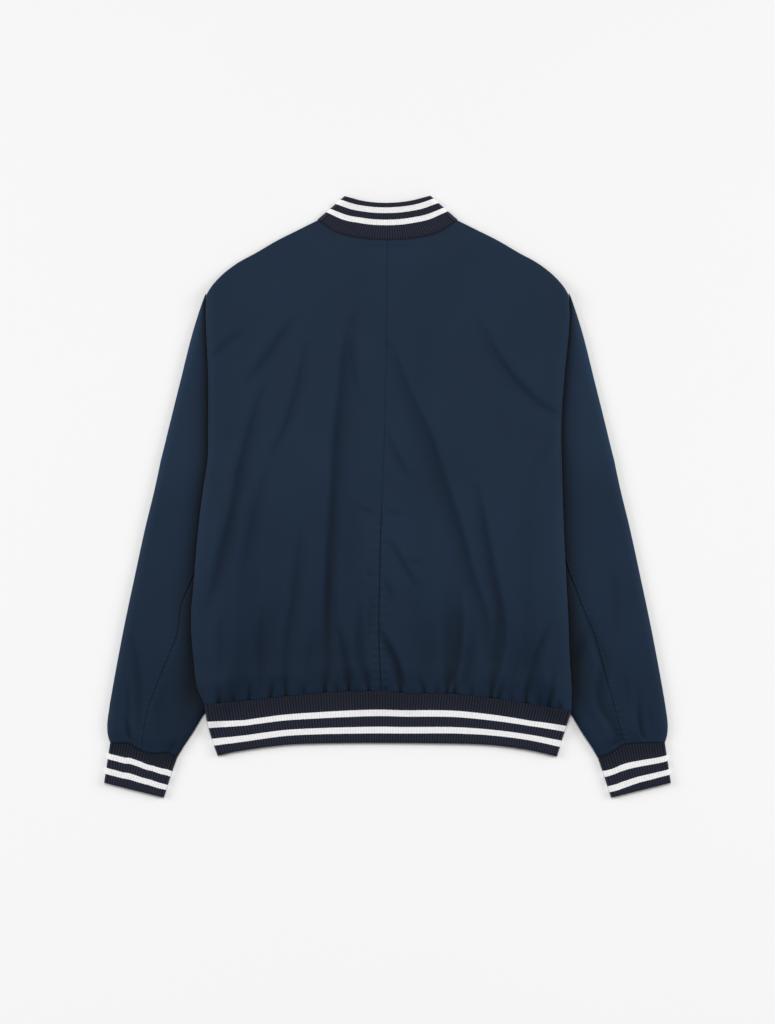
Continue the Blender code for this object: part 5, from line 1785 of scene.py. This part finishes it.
@dataclass
class Jacket:
    """The whole jacket: builds each piece, rides it on the frame and hides the solid that it replaces."""

    drape: Drape = field(default_factory=Drape)
    sleeve_stitching: tuple[float, float] = (2.6, 0.6)
    sleeve_span: tuple[float, float, int] = (0.05, 0.985, 200)
    centre_span: tuple[float, float, int] = (0.02, 0.44, 160)
    neck_span: tuple[float, float, int] = (0.04, 0.995, 160)
    centre_stitching: float = 2.7
    neck_stitching: float = 4.8
    hem_bow: tuple[float, int] = (2.6, 10)
    ramp_room: float = 1.6

    def declare(self, piece: Piece, node: str,
                rests_on: Sequence[str] = ()) -> None:
        """Ride a piece of cloth on the frame, hide the solid that it replaces, and log its faces and area.

        Args:
            piece: The new piece.
            node: The solid that it stands for.
            rests_on: What it lies on, apart from the floor. Not used.
        """
        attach(piece, "root")
        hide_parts(node)
        half_area = sum(face.area for face in piece.data.polygons) / 2
        LOG.info("%s: %d faces, %.4f square metres", piece.name, len(piece.data.polygons), half_area)

    def build(self) -> None:
        """Build every piece in order."""
        cloth, thread = NavyCloth().material(), Thread().material()
        for side in Side:
            back = BackPanel(side, self.drape, cloth)
            self.stitch_back(back, thread)
            self.declare(back.build(), f"back_{side.word}",
                         [f"front_{side.word}"])
            front = FrontPanel(side, self.drape, cloth, ceiling=back.top)
            self.declare(front.build(), f"front_{side.word}")
            sleeve = Sleeve(side, self.drape, cloth)
            self.declare(sleeve.build(Part.OUTER), f"sleeve_{side.word}_outer")
            self.declare(sleeve.build(Part.UNDER), f"sleeve_{side.word}_under")
            out, up = self.sleeve_stitching
            seam = curve(mirrored(BACK_SEAM[side], side))(np.linspace(*self.sleeve_span))
            seam += np.array([side.value * out, up])
            self.stitch(Topstitching(f"sleeve_topstitching_{side.word}", seam, sleeve.top, thread))
        self.bands()
        self.snaps()

    def stitch(self, stitches: Topstitching) -> None:
        """Build a row of stitches and ride it on the jacket."""
        piece = stitches.build()
        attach(piece, "root")
        LOG.info("%s: %d faces", piece.name, len(piece.data.polygons))

    def stitch_back(self, back: BackPanel, thread: Finish) -> None:
        """Topstitch one back panel along the lower centre seam and under the collar.

        Args:
            back: The panel that the stitches lie on.
            thread: Their finish.
        """
        sign = back.side.value
        seam = curve(CENTRE_SEAM)(np.linspace(*self.centre_span))[::-1]
        self.stitch(Topstitching(f"centre_topstitching_{back.side.word}",
                                 seam + np.array([sign * self.centre_stitching, 0.0]), back.top, thread))
        neck = curve(mirrored(BACK_NECK, back.side))(np.linspace(*self.neck_span))
        along = np.gradient(neck, axis=0)
        down = np.stack([along[:, 1], -along[:, 0]], axis=1) * -sign
        down /= np.linalg.norm(down, axis=1, keepdims=True)
        self.stitch(Topstitching(f"neck_topstitching_{back.side.word}",
                                 neck + self.neck_stitching * down, back.top, thread))

    def bands(self) -> None:
        """Build the knit bands of the hem, the collar and the cuffs."""
        drape = self.drape
        hem_plan = ruled(curve(HEM_SEAM), curve(HEM_EDGE), along_first=False)

        def bowed(u: Grid, v: Grid) -> Grid:
            """Bow the left end of the hem band outwards."""
            place = hem_plan(u, v)
            bow, power = self.hem_bow
            place[..., 0] -= bow * np.sin(np.pi * v) * (1 - u) ** power
            return place

        def under_band(x: Grid, y: Grid) -> Grid:
            """Give the underside of the band: the left front's on the left, the right one's on the right."""
            return np.where(x < 0, drape.under_body(x, y, LEFT), drape.under_body(x, y, RIGHT))

        def over_band(x: Grid, y: Grid) -> Grid:
            """Give the top of the band, with more room where it comes down off a sleeve."""
            ramp = drape.on_sleeve(x, y)
            return drape.top_of_fronts(x, y) + BAND + self.ramp_room * 4 * ramp * (1 - ramp)

        def over_flat(x: Grid, y: Grid) -> Grid:
            """Give the top of a band that lies straight on the floor."""
            return np.full_like(x, BAND)

        knit = RibKnit("hem_knit", HEM_STRIPES[0.5], length=0.066, seam_shade=0.36)
        hem = KnitBand("hem_band", bowed, bowed, under_band, over_band, HEM_STRIPES, knit.material(),
                       ribs=128, turn=4.5, gap=0.004, rows=14)
        self.declare(hem.build(), "hem_rib",
                     ["sleeve_left_outer", "sleeve_right_outer"])
        back_seam = curve(whole_neck(BACK_NECK, LEFT))
        front_seam = curve(whole_neck(FRONT_NECK, LEFT))
        upper = ruled(lambda share: back_seam(share) + np.array([0.0, SEAM]), curve(COLLAR_EDGE),
                      along_first=False)
        lower = ruled(lambda share: front_seam(share) + np.array([0.0, FRONT_SEAM]),
                      curve(whole_neck(COLLAR_FRONT_EDGE, LEFT)), along_first=False)
        knit = RibKnit("collar_knit", COLLAR_STRIPES[0.5], length=0.050)
        collar = KnitBand("collar_band", upper, lower, on_floor, over_flat, COLLAR_STRIPES, knit.material(),
                          ribs=52, turn=6.0, gap=0.004, rows=16)
        self.declare(collar.build(), "collar_rib")
        self.cuffs(over_flat)

    def cuffs(self, over_flat: Height) -> None:
        """Build the two cuffs.

        Args:
            over_flat: The top of a band that lies straight on the floor.
        """
        for side in Side:
            top_outer, end_outer, top_inner, end_inner = mirrored(CUFF_CORNERS, side)
            straight = ruled(curve([top_outer, end_outer]), curve([top_inner, end_inner]))
            plan = sagged(straight, side, lambda share: 1 - share)
            stripes = CUFF_STRIPES[side]
            knit = RibKnit(f"cuff_knit_{side.word}", stripes[0.5], length=0.054, seam_shade=CUFF_SHADES[side])
            band = KnitBand(f"cuff_band_{side.word}", plan, plan, on_floor, over_flat, stripes,
                            knit.material(), ribs=22, turn=4.5, gap=0.01, rows=14)
            self.declare(band.build(), f"cuff_{side.word}")

    def snaps(self) -> None:
        """Give the snap caps their metal."""
        metal = SnapMetal().material()
        for number in range(1, 6):
            snap = bpy.data.objects[f"snap_{number}"]
            for slot in snap.material_slots:
                slot.material = metal


def main() -> None:
    """Load the frame, build the jacket and the studio."""
    logging.basicConfig(level=logging.INFO, format="%(name)s: %(message)s")
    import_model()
    Studio().build()
    Jacket().build()


if __name__ == "__main__":
    main()
